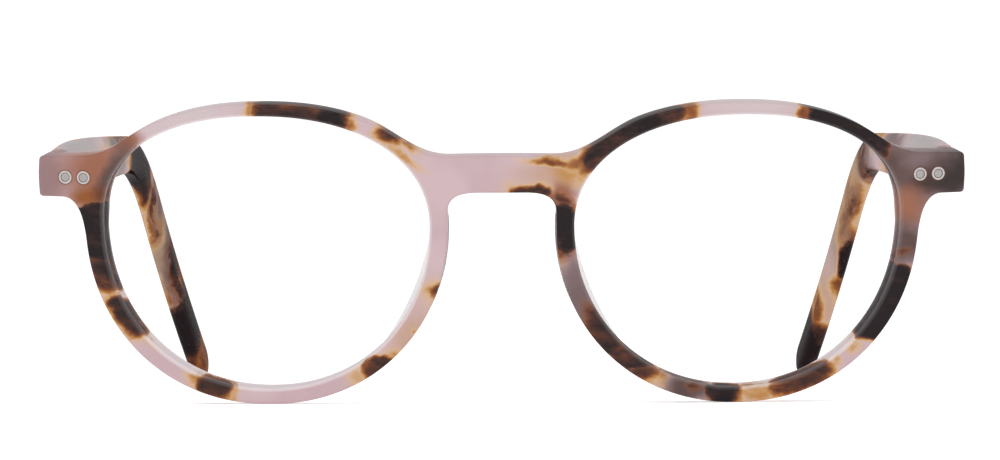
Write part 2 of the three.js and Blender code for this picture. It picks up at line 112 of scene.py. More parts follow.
RIVET_DISC_RADIUS = 0.64
RIVET_RING_HEIGHT = 0.06
RIVET_SETBACK = 3.0
TEMPLE_LENGTH = 145.0
TEMPLE_THICKNESS = 3.8
TEMPLE_HEIGHT = 6.8
TIP_THICKNESS = 3.2
EAR_START = 82.0
EAR_RADIUS = 30.0
EAR_ANGLE = math.radians(47)
TIP_INSET = 15.2
BUTT_GAP = 0.3
BUTT_EASE = 0.1
SECTION_EXPONENT = 3.0

# Sizes that follow
LENS_CENTRE = (LENS_WIDTH + LENS_GAP) / 2
WIDEST_LINE = LENS_HEIGHT * WIDEST_LINE_SHARE
LENS_RISE = LENS_HEIGHT / 2 - WIDEST_LINE
LENS_DROP = LENS_HEIGHT / 2 + WIDEST_LINE
BRIDGE_TOP = BRIDGE_RISE + BRIDGE_HEIGHT / 2
BRIDGE_FOOT = BRIDGE_RISE - BRIDGE_HEIGHT / 2
END_TOP = END_RISE + END_HEIGHT / 2
END_FOOT = END_RISE - END_HEIGHT / 2
RIM_EDGE = LENS_CENTRE + LENS_WIDTH / 2 + RIM_SIDE
END_EDGE = RIM_EDGE + END_REACH
RIVET_REACH = END_EDGE - RIVET_INSET
RIVET_SINK = END_THICKNESS / 10
RIVET_DISH = RIVET_RING_HEIGHT / 3
LENS_DEPTH = FRONT_THICKNESS / 2
TEMPLE_MIDDLE = HINGE_OFFSET + TEMPLE_THICKNESS / 2
STACK_HEIGHT = BARREL_COUNT * BARREL_HEIGHT + (BARREL_COUNT - 1) * BARREL_GAP

# The camera that took the photograph
PHOTO_WIDTH = 1000
SENSOR_WIDTH = 36.0
FOCAL_PIXELS = 6830.0
CLIP_METRES = (0.01, 20.0)
CAMERA_PLACE = Vector((-0.29, -1071.5, 36.05)) * MM
CAMERA_PITCH = math.radians(0.6)
CAMERA_ROLL = math.radians(-0.25)


def new_object(name, data):
    made = bpy.data.objects.new(name, data)
    bpy.context.scene.collection.objects.link(made)
    return made


def make_camera():
    data = bpy.data.cameras.new("photo_camera")
    data.sensor_width = SENSOR_WIDTH
    data.lens = FOCAL_PIXELS / PHOTO_WIDTH * SENSOR_WIDTH
    data.clip_start, data.clip_end = CLIP_METRES
    camera = new_object("photo_camera", data)
    pitch = Matrix.Rotation(math.pi / 2 - CAMERA_PITCH, 4, "X")
    turn = pitch @ Matrix.Rotation(CAMERA_ROLL, 4, "Z")
    camera.matrix_world = Matrix.Translation(CAMERA_PLACE) @ turn
    bpy.context.scene.camera = camera


make_camera()

# The places of the front and the hinges in the row frame

left_fold = next(joint for joint in frame["joints"] if joint["name"] == "left_temple_fold")
PIN = Vector(left_fold["pos_m"]) / MM
PITCH = math.atan2(-left_fold["axis"][1], left_fold["axis"][2])
WRAP_ANGLE = RIVET_REACH / FACE_RADIUS


def wrapped(u, v, w):
    """Drawn points once the front is bent round the face."""
    angle = u / FACE_RADIUS
    radius = FACE_RADIUS + w
    depth = radius * np.cos(angle) - FACE_RADIUS
    return np.stack([radius * np.sin(angle), v + 0 * u, depth], axis=-1)


def end_frame():
    """The flat spot of the left end piece, where its rivets stand."""
    place = Vector(wrapped(np.float64(RIVET_REACH), np.float64(END_RISE), np.float64(0)))
    return Matrix.Translation(place) @ Matrix.Rotation(WRAP_ANGLE, 4, "Y")


TILT = Matrix.Rotation(math.pi / 2 + PANTOSCOPIC, 4, "X")
HINGE_FRAME = TILT @ end_frame()
PIN_WORN = HINGE_FRAME @ Vector((HINGE_SHIFT, 0, -END_THICKNESS))
PIN_WORN += HINGE_STANDOFF * Vector((-math.sin(WRAP_ANGLE), math.cos(WRAP_ANGLE), 0))
REST = Matrix.Rotation(PITCH, 4, "X")
REST = Matrix.Translation(PIN - REST @ PIN_WORN) @ REST
FRONT_PLACE = REST @ TILT
END_PLACE = REST @ HINGE_FRAME
PIN_PLACE = REST @ Matrix.Translation(PIN_WORN)
END_TO_PIN = Matrix.Translation(HINGE_FRAME.translation - PIN_WORN)
END_TO_PIN = END_TO_PIN @ HINGE_FRAME.to_3x3().to_4x4()
MIRROR = Matrix.Diagonal((-1, 1, 1, 1))


def sided(side, place):
    """A place on the wearer's left, or its mirror image on the right."""
    return place if side == "left" else MIRROR @ place


def moved(points, place):
    """Points in millimetres carried by a matrix."""
    turn = np.array(place.to_3x3())
    return np.asarray(points, float) @ turn.T + np.array(place.translation)


def in_metres(place):
    return Matrix.Translation(place.translation * MM) @ place.to_3x3().to_4x4()


# The flat drawing of the front


def panto(angle, side=0.0, top=None, foot=None, offset=LENS_TOP_OFFSET):
    """Points on the lens opening, or on an outline outside it by the given widths."""
    top = side if top is None else top
    foot = side if foot is None else foot
    across, up = np.cos(angle), np.sin(angle)
    power = np.where(up > 0, 2 / UPPER_EXPONENT, 2 / LOWER_EXPONENT)
    height = np.abs(up) ** power
    reach = np.sign(across) * np.abs(across) ** power * (LENS_WIDTH / 2 + side)
    shift = np.where(up > 0, offset * height, 0)
    rise = np.where(up > 0, height * (LENS_RISE + top), -height * (LENS_DROP + foot))
    x, y = reach + shift, WIDEST_LINE + rise
    cosine, sine = math.cos(-LENS_CANT), math.sin(-LENS_CANT)
    return np.stack([LENS_CENTRE + x * cosine - y * sine, x * sine + y * cosine], axis=-1)


def rim_points(degrees):
    return panto(np.radians(degrees), RIM_SIDE, RIM_TOP, RIM_BOTTOM, RIM_TOP_OFFSET)


def rim_aim(degrees):
    step = rim_points(degrees - 1) - rim_points(degrees + 1)
    return step / np.linalg.norm(step)


def bezier(*controls, steps):
    """Points along a Bezier curve, without its ends."""
    share = np.linspace(0, 1, steps + 1)[1:-1, None]
    degree = len(controls) - 1
    points = 0
    for index, control in enumerate(controls):
        weight = math.comb(degree, index) * share**index * (1 - share) ** (degree - index)
        points = points + weight * np.asarray(control)
    return points


def blend(start, start_aim, end, end_aim, reach_share, steps):
    reach = np.linalg.norm(np.subtract(end, start)) * reach_share
    leave = start + np.multiply(start_aim, reach)
    arrive = end - np.multiply(end_aim, reach)
    return bezier(start, leave, arrive, end, steps=steps)


def corner(before, tip, after, radius):
    tip = np.asarray(tip, float)
    start = tip + (before - tip) / np.linalg.norm(before - tip) * radius
    end = tip + (after - tip) / np.linalg.norm(after - tip) * radius
    return np.vstack([start, bezier(start, tip, end, steps=CORNER_STEPS), end])


# Where the outline's curves meet the rim, as angles on the rim, and how far their handles reach
BROW_DEGREES = (121, 53)
FOOT_DEGREES = (-6, -174)
NOSE_DEGREES = -182
BROW_REACH_SHARE = 0.36
TEMPLE_REACH_SHARE = 0.4
FILLET_REACH_SHARE = 0.36
NOSE_REACH_SHARE = 0.5
SHOULDER_SHARE = 0.37
ARCH_SHARE = 0.22
UNDERSIDE_SHARES = (0.75, 0.5, 0.25, 0)
END_ROOT_SHARE = 0.11
FILLET_SHARE = 0.49

# How finely each curve is drawn
BRIDGE_POINTS = 12
RIM_STEPS = 240
CORNER_STEPS = 8
BROW_STEPS = 24
TEMPLE_STEPS = 40
FILLET_STEPS = 32
BOW_STEPS = 10
BOW_TRIM = 3
LONGEST_STEP = 0.35
LONGEST_TO_SHORTEST = 12


def half_outline():
    """Half of the front's outline, from the top of the bridge over the rim to its underside."""
    level = np.array([1.0, 0.0])
    bridge_edge = np.array([LENS_GAP * SHOULDER_SHARE, BRIDGE_TOP])
    across = np.linspace(0, 1, BRIDGE_POINTS)[:, None]
    bridge = np.hstack([bridge_edge[0] * across, BRIDGE_TOP + BRIDGE_CROWN * (1 - across**2)])
    brow, brow_end = (rim_points(degrees) for degrees in BROW_DEGREES)
    brow_aim, brow_end_aim = (rim_aim(degrees) for degrees in BROW_DEGREES)
    end_root = np.array([RIM_EDGE + END_REACH * END_ROOT_SHARE, END_TOP + END_TAPER])
    top_corner = np.array([END_EDGE - END_BOW, END_TOP])
    widest = np.array([END_EDGE, END_RISE])
    foot_corner = np.array([END_EDGE - END_BOW, END_FOOT])
    fillet = np.array([RIM_EDGE + END_REACH * FILLET_SHARE, END_FOOT])
    foot, nose = rim_points(FOOT_DEGREES[0]), rim_points(NOSE_DEGREES)
    foot_aim, nose_aim = rim_aim(FOOT_DEGREES[0]), rim_aim(NOSE_DEGREES)
    arch = np.array([NOSE_ARCH_WIDTH * ARCH_SHARE, BRIDGE_FOOT])
    end_aim = (top_corner - end_root) / np.linalg.norm(top_corner - end_root)
    return np.vstack([
        bridge,
        blend(bridge_edge, level, brow, brow_aim, BROW_REACH_SHARE, BROW_STEPS),
        rim_points(np.linspace(*BROW_DEGREES, RIM_STEPS // 2)),
        blend(brow_end, brow_end_aim, end_root, end_aim, TEMPLE_REACH_SHARE, TEMPLE_STEPS),
        end_root,
        corner(end_root, top_corner, widest, END_CORNER),
        bezier(top_corner, widest, foot_corner, steps=BOW_STEPS)[BOW_TRIM:-BOW_TRIM],
        corner(widest, foot_corner, fillet, END_CORNER),
        fillet,
        blend(fillet, -level, foot, foot_aim, FILLET_REACH_SHARE, FILLET_STEPS),
        rim_points(np.linspace(*FOOT_DEGREES, RIM_STEPS)),
        nose,
        blend(nose, nose_aim, arch, -level, NOSE_REACH_SHARE, FILLET_STEPS),
        arch,
        [(arch[0] * share, BRIDGE_FOOT) for share in UNDERSIDE_SHARES],
    ])


def spaced(points):
    """A closed line of points with no step longer than the longest and none that is tiny."""
    least = LONGEST_STEP / LONGEST_TO_SHORTEST
    kept = [points[0]]
    for point in points[1:]:
        if np.linalg.norm(point - kept[-1]) > least:
            kept.append(point)
    if np.linalg.norm(kept[0] - kept[-1]) < least:
        kept.pop()
    dense = []
    for here, there in zip(kept, kept[1:] + kept[:1]):
        count = max(1, math.ceil(np.linalg.norm(there - here) / LONGEST_STEP))
        dense += [here + (there - here) * step / count for step in range(count)]
    return np.array(dense)


def inward(points):
    """Unit normals of a closed line, to the left of its way."""
    along = np.roll(points, -1, axis=0) - np.roll(points, 1, axis=0)
    along /= np.linalg.norm(along, axis=1)[:, None]
    return np.stack([-along[:, 1], along[:, 0]], axis=-1)


def smooth_share(value, low, high):
    share = np.clip((value - low) / (high - low), 0, 1)
    return share * share * (3 - 2 * share)


# Where the thickening of the back starts and ends, out from the lens centre and up from its middle
THICK_START_SHARES = (0.42, 0.2)
THICK_END_SHARES = (0.537, 0.37)


def end_thick_share(u, v):
    """How far the back is thickened at an end piece, from 0 on the rim to 1."""
    (u0, v0), (u1, v1) = (
        (LENS_CENTRE + LENS_WIDTH * out, LENS_RISE * up)
        for out, up in (THICK_START_SHARES, THICK_END_SHARES)
    )
    return smooth_share(np.abs(u), u0, u1) * smooth_share(v, v0, v1)


def front_place(u, v, w):
    """Drawn points of the front carried to the row frame, in millimetres."""
    u, v, w = (np.asarray(value, float) for value in (u, v, w))
    extra = (END_THICKNESS - FRONT_THICKNESS) * end_thick_share(u, v)
    return moved(wrapped(u, v, w + extra * w / FRONT_THICKNESS), FRONT_PLACE)


# Meshes

# The angles in degrees over which edges show as sharp
LENS_SHARP = 20
METAL_SHARP = 30
ACETATE_SHARP = 35
PAD_SHARP = 50
TURNED_STEPS = 48
RIVET_STEPS = 64


def mesh_object(name, points, faces):
    """An object from points in millimetres."""
    mesh = bpy.data.meshes.new(name)
    faces = [list(map(int, face)) for face in faces]
    mesh.from_pydata((np.asarray(points) * MM).tolist(), [], faces)
    return new_object(name, mesh)


def soften(piece, degrees):
    piece.data.shade_smooth()
    piece.data.set_sharp_from_angle(angle=math.radians(degrees))


def register(piece, body, node, sharp):
    """Lets a piece ride on a body and stand for a CAD node."""
    soften(piece, sharp)
    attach(piece, body)
    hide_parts(node)
    return piece


def make_piece(name, points, faces, body, node, sharp):
    piece = mesh_object(name, points, faces)
    piece.data.validate()
    return register(piece, body, node, sharp)


def ring_faces(levels, count):
    """Quads between closed rings of equal count."""
    faces = []
    for level in range(levels - 1):
        base = level * count
        for step in range(count):
            beside = (step + 1) % count
            faces.append((base + step, base + beside, base + count + beside, base + count + step))
    return faces


def strip_caps(levels, count):
    """Ends of a loft as strips between a ring's first half and its second."""
    faces = []
    for level in (0, levels - 1):
        base = level * count
        for step in range(count // 2 - 1):
            far = base + count - 1 - step
            quad = (base + step, base + step + 1, far - 1, far)
            faces.append(quad if level else quad[::-1])
    return faces


def facing(side, faces):
    """Faces as they are on the left, and turned over on the mirrored right."""
    return faces if side == "left" else [tuple(face)[::-1] for face in faces]


def loft_faces(side, rings):
    levels, count = len(rings), len(rings[0])
    return facing(side, ring_faces(levels, count) + strip_caps(levels, count))


def carve(piece, *cutters, operation="DIFFERENCE"):
    """Cuts or joins other objects into a piece, and removes them."""
    for cutter in cutters:
        modifier = piece.modifiers.new("carve", "BOOLEAN")
        modifier.operation = operation
        modifier.solver = "EXACT"
        modifier.object = cutter
        depsgraph = bpy.context.evaluated_depsgraph_get()
        mesh = bpy.data.meshes.new_from_object(piece.evaluated_get(depsgraph))
        piece.modifiers.clear()
        old, piece.data = piece.data, mesh
        mesh.name = piece.name
        bpy.data.meshes.remove(old)
        bpy.data.objects.remove(cutter)


BOX_FACES = ((0, 3, 2, 1), (4, 5, 6, 7), (0, 1, 5, 4), (1, 2, 6, 5), (2, 3, 7, 6), (3, 0, 4, 7))


def box_points(low, high):
    (x0, y0, z0), (x1, y1, z1) = low, high
    return np.array([
        (x0, y0, z0), (x1, y0, z0), (x1, y1, z0), (x0, y1, z0),
        (x0, y0, z1), (x1, y0, z1), (x1, y1, z1), (x0, y1, z1),
    ])


def cut_pocket(piece, side, place, low, high):
    box = moved(box_points(low, high), sided(side, place))
    carve(piece, mesh_object("pocket", box, facing(side, BOX_FACES)))


def lathe(profile, steps=TURNED_STEPS):
    """A solid turned about Z, from radius and height pairs that start and end on the axis."""
    ring = np.array(profile[1:-1], float)
    angles = np.linspace(0, 2 * math.pi, steps, endpoint=False)
    points = [(r * math.cos(a), r * math.sin(a), z) for r, z in ring for a in angles]
    faces = ring_faces(len(ring), steps)
    low, high = len(points), len(points) + 1
    points += [(0, 0, profile[0][1]), (0, 0, profile[-1][1])]
    last = (len(ring) - 1) * steps
    for step in range(steps):
        beside = (step + 1) % steps
        faces.append((low, beside, step))
        faces.append((high, last + step, last + beside))
    return np.array(points), faces


# The acetate front

SHEET_STEP = 1.1
SHEET_MARGIN_SHARE = 0.45
EDGE_POINTS = 6
TRIANGLES_INSIDE = 1
SAME_POINT = 1e-7


def opening_outline(side):
    """A lens opening, clockwise, so that its normals point into the acetate."""
    ring = spaced(panto(np.linspace(0, 2 * math.pi, 2 * RIM_STEPS, endpoint=False)))
    return ring[::-1] if side == "left" else ring * (-1, 1)


def inside(points, outline):
    """True for each point inside a closed outline."""
    x, y = points[:, 0:1], points[:, 1:2]
    x0, y0 = outline[:, 0], outline[:, 1]
    x1, y1 = np.roll(x0, -1), np.roll(y0, -1)
    spans = (y0 > y) != (y1 > y)
    with np.errstate(divide="ignore", invalid="ignore"):
        crossing = (x1 - x0) * (y - y0) / (y1 - y0) + x0
    return (np.sum(spans & (x < crossing), axis=1) % 2).astype(bool)


def on_sheet(points, outer, holes):
    keep = inside(points, outer)
    for hole in holes:
        keep &= ~inside(points, hole)
    return keep


def sheet_faces(loops):
    """Inner points and triangles of the sheet between an outline and its two openings."""
    outer, *holes = loops
    low, high = outer.min(axis=0), outer.max(axis=0)
    rows = np.arange(low[1], high[1], SHEET_STEP * math.sqrt(3) / 2)
    grid = np.array([
        (x, y)
        for row, y in enumerate(rows)
        for x in np.arange(low[0] + SHEET_STEP / 2 * (row % 2), high[0], SHEET_STEP)
    ])
    grid = grid[on_sheet(grid, outer, holes)]
    border = np.vstack(loops)
    gaps = np.array([np.min(np.linalg.norm(border - point, axis=1)) for point in grid])
    grid = grid[gaps > SHEET_STEP * SHEET_MARGIN_SHARE]
    edges, start = [], 0
    for loop in loops:
        count = len(loop)
        edges += [(start + step, start + (step + 1) % count) for step in range(count)]
        start += count
    points = np.vstack([border, grid])
    spots = [Vector(point) for point in points]
    made = delaunay_2d_cdt(spots, edges, [], TRIANGLES_INSIDE, SAME_POINT)
    source = [ids[0] for ids in made[3]]
    faces = np.array([[source[index] for index in face] for face in made[2]])
    return grid, faces[on_sheet(points[faces].mean(axis=1), outer, holes)]


def wall_levels(grooved):
    """Insets and depths down a wall, from the front face round both edges to the back."""
    turns = np.linspace(0, math.pi / 2, EDGE_POINTS)
    round_off = [
        (EDGE_ROUNDING * (1 - math.sin(t)), EDGE_ROUNDING * (1 - math.cos(t))) for t in turns
    ]
    middle = []
    if grooved:
        depths = (LENS_DEPTH - GROOVE_WIDTH / 2, LENS_DEPTH, LENS_DEPTH + GROOVE_WIDTH / 2)
        middle = list(zip((0, GROOVE_DEPTH, 0), depths))
    back = [(inset, FRONT_THICKNESS - depth) for inset, depth in round_off[::-1]]
    return round_off + middle + back


def make_front():
    half = half_outline()
    other = half[1:-1][::-1] * (-1, 1)
    outer = spaced(np.vstack([half, other])[::-1])
    loops = [outer, *map(opening_outline, SIDES)]
    normals = [inward(loop) for loop in loops]
    insets = [loop + normal * EDGE_ROUNDING for loop, normal in zip(loops, normals)]
    grid, triangles = sheet_faces(insets)
    points, faces, wall_shares = [], [], []
    first_rings, last_rings = [], []

    def add(flat, depth, wall_share):
        start = sum(map(len, points))
        points.append(front_place(flat[:, 0], flat[:, 1], np.full(len(flat), -depth)))
        wall_shares.append(np.full(len(flat), wall_share))
        return np.arange(start, start + len(flat))

    for index, (loop, normal) in enumerate(zip(loops, normals)):
        opening = index > 0
        rings = []
        for inset, depth in wall_levels(opening):
            wall_share = float(opening)
            if opening and inset <= EDGE_ROUNDING:
                wall_share = 1 - max(inset, 0) / EDGE_ROUNDING
            rings.append(add(loop + normal * inset, depth, wall_share))
        first_rings.append(rings[0])
        last_rings.append(rings[-1])
        for above, below in zip(rings, rings[1:]):
            for step in range(len(loop)):
                beside = (step + 1) % len(loop)
                faces.append((above[step], below[step], below[beside], above[beside]))
    for depth, rings, turn in ((0.0, first_rings, 1), (FRONT_THICKNESS, last_rings, -1)):
        ids = np.concatenate([*rings, add(grid, depth, 0.0)])
        faces += [tuple(face)[::turn] for face in ids[triangles]]
    piece = make_piece("front_acetate", np.vstack(points), faces,
                       "front_frame", "front", ACETATE_SHARP)
    # The share of each point on an opening's inner wall, where the front's material adds painted
    # light
    attribute = piece.data.attributes.new("inner_wall", "FLOAT", "POINT")
    attribute.data.foreach_set("value", np.concatenate(wall_shares).astype(np.float32))
    width, height = (size / 2 + LEAF_CLEARANCE for size in (LEAF_WIDTH, LEAF_HEIGHT))
    depth = LEAF_THICKNESS + LEAF_CLEARANCE
    low, high = (-width, -height, -END_THICKNESS - depth), (width, height, -END_THICKNESS + depth)
    for side in SIDES:
        cut_pocket(piece, side, END_PLACE, low, high)
    soften(piece, ACETATE_SHARP)
    return piece


front = make_front()

# The lenses

LENS_STEPS = 160
LENS_RINGS = 18
LENS_MIDDLE_SHARE = 0.04


def lens_ring(offset, depth, share=1.0):
    flat = panto((np.arange(LENS_STEPS) + 0.5) * 2 * math.pi / LENS_STEPS, offset)
    across = LENS_CENTRE + (flat[:, 0] - LENS_CENTRE) * share
    return np.stack([across, flat[:, 1] * share, np.full(LENS_STEPS, depth)], axis=-1)


def make_lens(side):
    half = LENS_THICKNESS / 2
    shares = np.linspace(LENS_MIDDLE_SHARE, 1, LENS_RINGS)

    def face(way, share):
        depth = way * half - LENS_DEPTH + LENS_DOME * (1 - share**2)
        return lens_ring(-LENS_CLEARANCE, depth, share)

    rings = [face(-1, share) for share in shares]
    rings.append(lens_ring(BEVEL_REACH, -LENS_DEPTH))
    rings += [face(1, share) for share in shares[::-1]]
    points = moved(wrapped(*np.vstack(rings).T), sided(side, FRONT_PLACE))
    name = f"{side}_lens"
    return make_piece(f"{name}_clear", points, loft_faces(side, rings),
                      "front_frame", name, LENS_SHARP)


lenses = [make_lens(side) for side in SIDES]

# The nose pads

PAD_INSET_SHARES = (0, 0.1, 0.3, 0.62, 0.85)
PAD_LEVEL_SHARES = (0, 0.35, 0.7, 0.92, 1)
PAD_LEVEL_POWER = 0.7
PAD_END_SHARE = 0.3
PAD_STEPS = 48
PAD_RINGS = 20


def rim_degrees_at(height):
    """The angle of the rim's nose side at a height."""
    up = height - WIDEST_LINE
    reach = LENS_RISE + RIM_TOP if up > 0 else LENS_DROP + RIM_BOTTOM
    exponent = UPPER_EXPONENT if up > 0 else LOWER_EXPONENT
    lift = (abs(up) / reach) ** (exponent / 2)
    return 180 - math.copysign(math.degrees(math.asin(lift)), up)


def make_pad(side):
    start, end = (math.radians(rim_degrees_at(height)) for height in (PAD_TOP, -PAD_BOTTOM))
    along = np.linspace(0, 1, PAD_STEPS)
    hump = np.sin(math.pi * along)
    angle = start + (end - start) * along
    nose = np.array([
        panto(a, RIM_SIDE + PAD_PROUD * h, RIM_TOP, RIM_BOTTOM) for a, h in zip(angle, hump)
    ])
    body = PAD_END_SHARE + (1 - PAD_END_SHARE) * np.sqrt(hump)
    rings = []
    for level in np.linspace(0, 1, PAD_RINGS) ** PAD_LEVEL_POWER:
        inset = np.interp(level, PAD_LEVEL_SHARES, PAD_INSET_SHARES)
        splay = EDGE_ROUNDING / 2 - PAD_SPLAY * level * hump
        inner = np.array([panto(a, reach, reach, reach) for a, reach in zip(angle, splay)])
        outer = nose + (inner - nose) * inset * PAD_THIN_SHARE
        depth = -FRONT_THICKNESS - PAD_DEPTH * level * body
        there, back = np.column_stack([outer, depth]), np.column_stack([inner, depth])[::-1]
        rings.append(np.vstack([there, back])[::-1])
    points = moved(wrapped(*np.vstack(rings).T), sided(side, FRONT_PLACE))
    name = f"{side}_nose_pad"
    return make_piece(f"{name}_acetate", points, loft_faces(side, rings),
                      "front_frame", name, PAD_SHARP)


pads = [make_pad(side) for side in SIDES]

# The rivets

# The groove round the disc: ways out from its edge as shares of the ring's height, and rises
RIVET_GROOVE = (
    (0.8, RIVET_RING_HEIGHT), (0.2, -RIVET_DISH), (-0.4, -RIVET_DISH), (-1, RIVET_DISH),
)
RIVET_CROWN_SHARE = 1.4
RIVET_SHOULDER_POINTS = 5
RIVET_DISC_SHARE = 0.88
DISC_MATERIAL, GROOVE_MATERIAL = 1, 2


def rivet_profile(length):
    rim = RIVET_HEAD_RADIUS - RIVET_RING_HEIGHT
    turns = np.linspace(0, math.pi / 2, RIVET_SHOULDER_POINTS)
    return [
        (0, -length),
        (RIVET_RADIUS, -length),
        (RIVET_RADIUS, -RIVET_SINK),
        (RIVET_HEAD_RADIUS, -RIVET_SINK),
        *((rim + RIVET_RING_HEIGHT * math.cos(t), RIVET_RING_HEIGHT * math.sin(t)) for t in turns),
        *((RIVET_DISC_RADIUS + RIVET_RING_HEIGHT * way, rise) for way, rise in RIVET_GROOVE),
        (0, RIVET_DISH * RIVET_CROWN_SHARE),
    ]


def make_rivet(name, place, length, body, side):
    points, faces = lathe(rivet_profile(length), RIVET_STEPS)
    piece = make_piece(f"{name}_metal", moved(points, sided(side, place)), facing(side, faces),
                       body, name, METAL_SHARP)
    reach = np.linalg.norm(points[:, :2], axis=1)
    for polygon in piece.data.polygons:
        radii = [reach[index] for index in polygon.vertices]
        on_head = points[polygon.vertices[0], 2] > -RIVET_RADIUS
        if on_head and max(radii) < RIVET_DISC_RADIUS + RIVET_RING_HEIGHT:
            grooved = min(radii) > RIVET_DISC_RADIUS * RIVET_DISC_SHARE
            polygon.material_index = GROOVE_MATERIAL if grooved else DISC_MATERIAL
    return piece


def make_rivets(side):
    rivets = []
    for index, spot in enumerate(("inner", "outer")):
        place = END_PLACE @ Matrix.Translation(((index - 0.5) * RIVET_SPACING, 0, 0))
        name = f"{side}_front_rivet_{spot}"
        rivets.append(make_rivet(name, place, END_THICKNESS, "front_frame", side))
    for index, spot in enumerate(("front", "rear")):
        reach = (HINGE_OFFSET + TEMPLE_THICKNESS, RIVET_SETBACK + index * RIVET_SPACING, 0)
        place = PIN_PLACE @ Matrix.Translation(reach) @ Matrix.Rotation(math.pi / 2, 4, "Y")
        name = f"{side}_temple_rivet_{spot}"
        rivets.append(make_rivet(name, place, TEMPLE_THICKNESS, f"{side}_temple_arm", side))
    return rivets


rivets = [rivet for side in SIDES for rivet in make_rivets(side)]

# The hinges

SCREW_DOME_POINTS = 6


def soft_box(low, high, place=Matrix()):
    """A box with eased edges, as a scratch object."""
    piece = mesh_object("box", box_points(low, high), BOX_FACES)
    bevel = piece.modifiers.new("ease", "BEVEL")
    bevel.width = HINGE_EASE * MM
    bevel.segments = 2
    depsgraph = bpy.context.evaluated_depsgraph_get()
    piece.data = bpy.data.meshes.new_from_object(piece.evaluated_get(depsgraph))
    piece.modifiers.clear()
    piece.data.transform(in_metres(place))
    return piece


def barrel(height):
    half, radius, ease = BARREL_HEIGHT / 2, BARREL_RADIUS, HINGE_EASE
    points, faces = lathe([
        (0, -half), (radius - ease, -half), (radius, ease - half),
        (radius, half - ease), (radius - ease, half), (0, half),
    ])
    return mesh_object("barrel", points + (0, 0, height), faces)


def level_height(level):
    return (level - (BARREL_COUNT - 1) / 2) * (BARREL_HEIGHT + BARREL_GAP)


def pin_hole():
    reach = STACK_HEIGHT
    radius = SCREW_RADIUS + RUNNING_CLEARANCE
    points, faces = lathe([(0, -reach), (radius, -reach), (radius, reach), (0, reach)])
    return mesh_object("pin_hole", points, faces)


def finish_leaf(side, name, piece, body):
    """Carries a piece of a hinge from its pin to its place."""
    piece.name = f"{name}_metal"
    piece.data.transform(in_metres(sided(side, PIN_PLACE)))
    if side == "right":
        piece.data.flip_normals()
    return register(piece, body, name, METAL_SHARP)


def make_front_leaf(side):
    low = (-LEAF_WIDTH / 2, -LEAF_HEIGHT / 2, -END_THICKNESS)
    high = (LEAF_WIDTH / 2, LEAF_HEIGHT / 2, LEAF_THICKNESS - END_THICKNESS)
    plate = soft_box(low, high, END_TO_PIN)
    thick, wide = BARREL_HEIGHT / 2, NECK_WIDTH / 2
    reach = HINGE_STANDOFF + LEAF_THICKNESS / 2
    wrap = Matrix.Rotation(WRAP_ANGLE, 4, "Z")
    for level in range(0, BARREL_COUNT, 2):
        rise = level_height(level)
        neck = soft_box((-wide, -reach, rise - thick), (wide, 0, rise + thick), wrap)
        carve(plate, neck, barrel(rise), operation="UNION")
    carve(plate, pin_hole())
    return finish_leaf(side, f"{side}_front_hinge_leaf", plate, "front_frame")


def make_temple_leaf(side):
    low = (HINGE_OFFSET, -NECK_WIDTH / 2, -LEAF_HEIGHT / 2)
    high = (HINGE_OFFSET + LEAF_THICKNESS, LEAF_LENGTH - NECK_WIDTH / 2, LEAF_HEIGHT / 2)
    plate = soft_box(low, high)
    for level in range(1, BARREL_COUNT, 2):
        rise = level_height(level)
        low = (0, -NECK_WIDTH / 2, rise - BARREL_HEIGHT / 2)
        high = (HINGE_OFFSET + LEAF_THICKNESS / 2, NECK_WIDTH / 2, rise + BARREL_HEIGHT / 2)
        carve(plate, soft_box(low, high), barrel(rise), operation="UNION")
    carve(plate, pin_hole())
    return finish_leaf(side, f"{side}_temple_hinge_leaf", plate, f"{side}_temple_arm")


def make_screw(side):
    foot, seat = -STACK_HEIGHT / 2, STACK_HEIGHT / 2 + RUNNING_CLEARANCE
    top = seat + SCREW_HEAD_HEIGHT
    dome = [
        (SCREW_HEAD_RADIUS - SLOT_DEPTH * (1 - math.cos(t)), top - SLOT_DEPTH * (1 - math.sin(t)))
        for t in np.linspace(0, math.pi / 2, SCREW_DOME_POINTS)
    ]
    points, faces = lathe([(0, foot), (SCREW_RADIUS, foot), (SCREW_RADIUS, seat),
                           (SCREW_HEAD_RADIUS, seat), *dome, (0, top)])
    piece = mesh_object("screw", points, faces)
    reach = 2 * SCREW_HEAD_RADIUS
    low = (-reach, -SLOT_WIDTH / 2, top - SLOT_DEPTH)
    high = (reach, SLOT_WIDTH / 2, top + SLOT_DEPTH)
    carve(piece, mesh_object("slot", box_points(low, high), BOX_FACES))
    piece = finish_leaf(side, f"{side}_hinge_screw", piece, "front_frame")
    return piece


leaves = [make(side) for side in SIDES for make in (make_front_leaf, make_temple_leaf)]
screws = [make_screw(side) for side in SIDES]

# The temples

# Heights at equal steps along a temple, as shares of its height at the hinge
HEIGHT_SHARES = (1, 1.12, 1.16, 1.13, 1.08, 1, 0.9, 0.82, 0.81, 0.85, 0.9, 0.88)
HEIGHT_EASE = 0.03
HEIGHT_SAMPLES = 7
SECTION_STEPS = 56
BUTT_EASE_SHARE = 0.05
FIRST_RING = 0.8
TEMPLE_RINGS = 150
TIP_RINGS = 16


def temple_height(distance):
    knots = np.linspace(0, 1, len(HEIGHT_SHARES))
    near = distance / TEMPLE_LENGTH + np.linspace(-HEIGHT_EASE, HEIGHT_EASE, HEIGHT_SAMPLES)
    return TEMPLE_HEIGHT * float(np.mean(np.interp(np.clip(near, 0, 1), knots, HEIGHT_SHARES)))


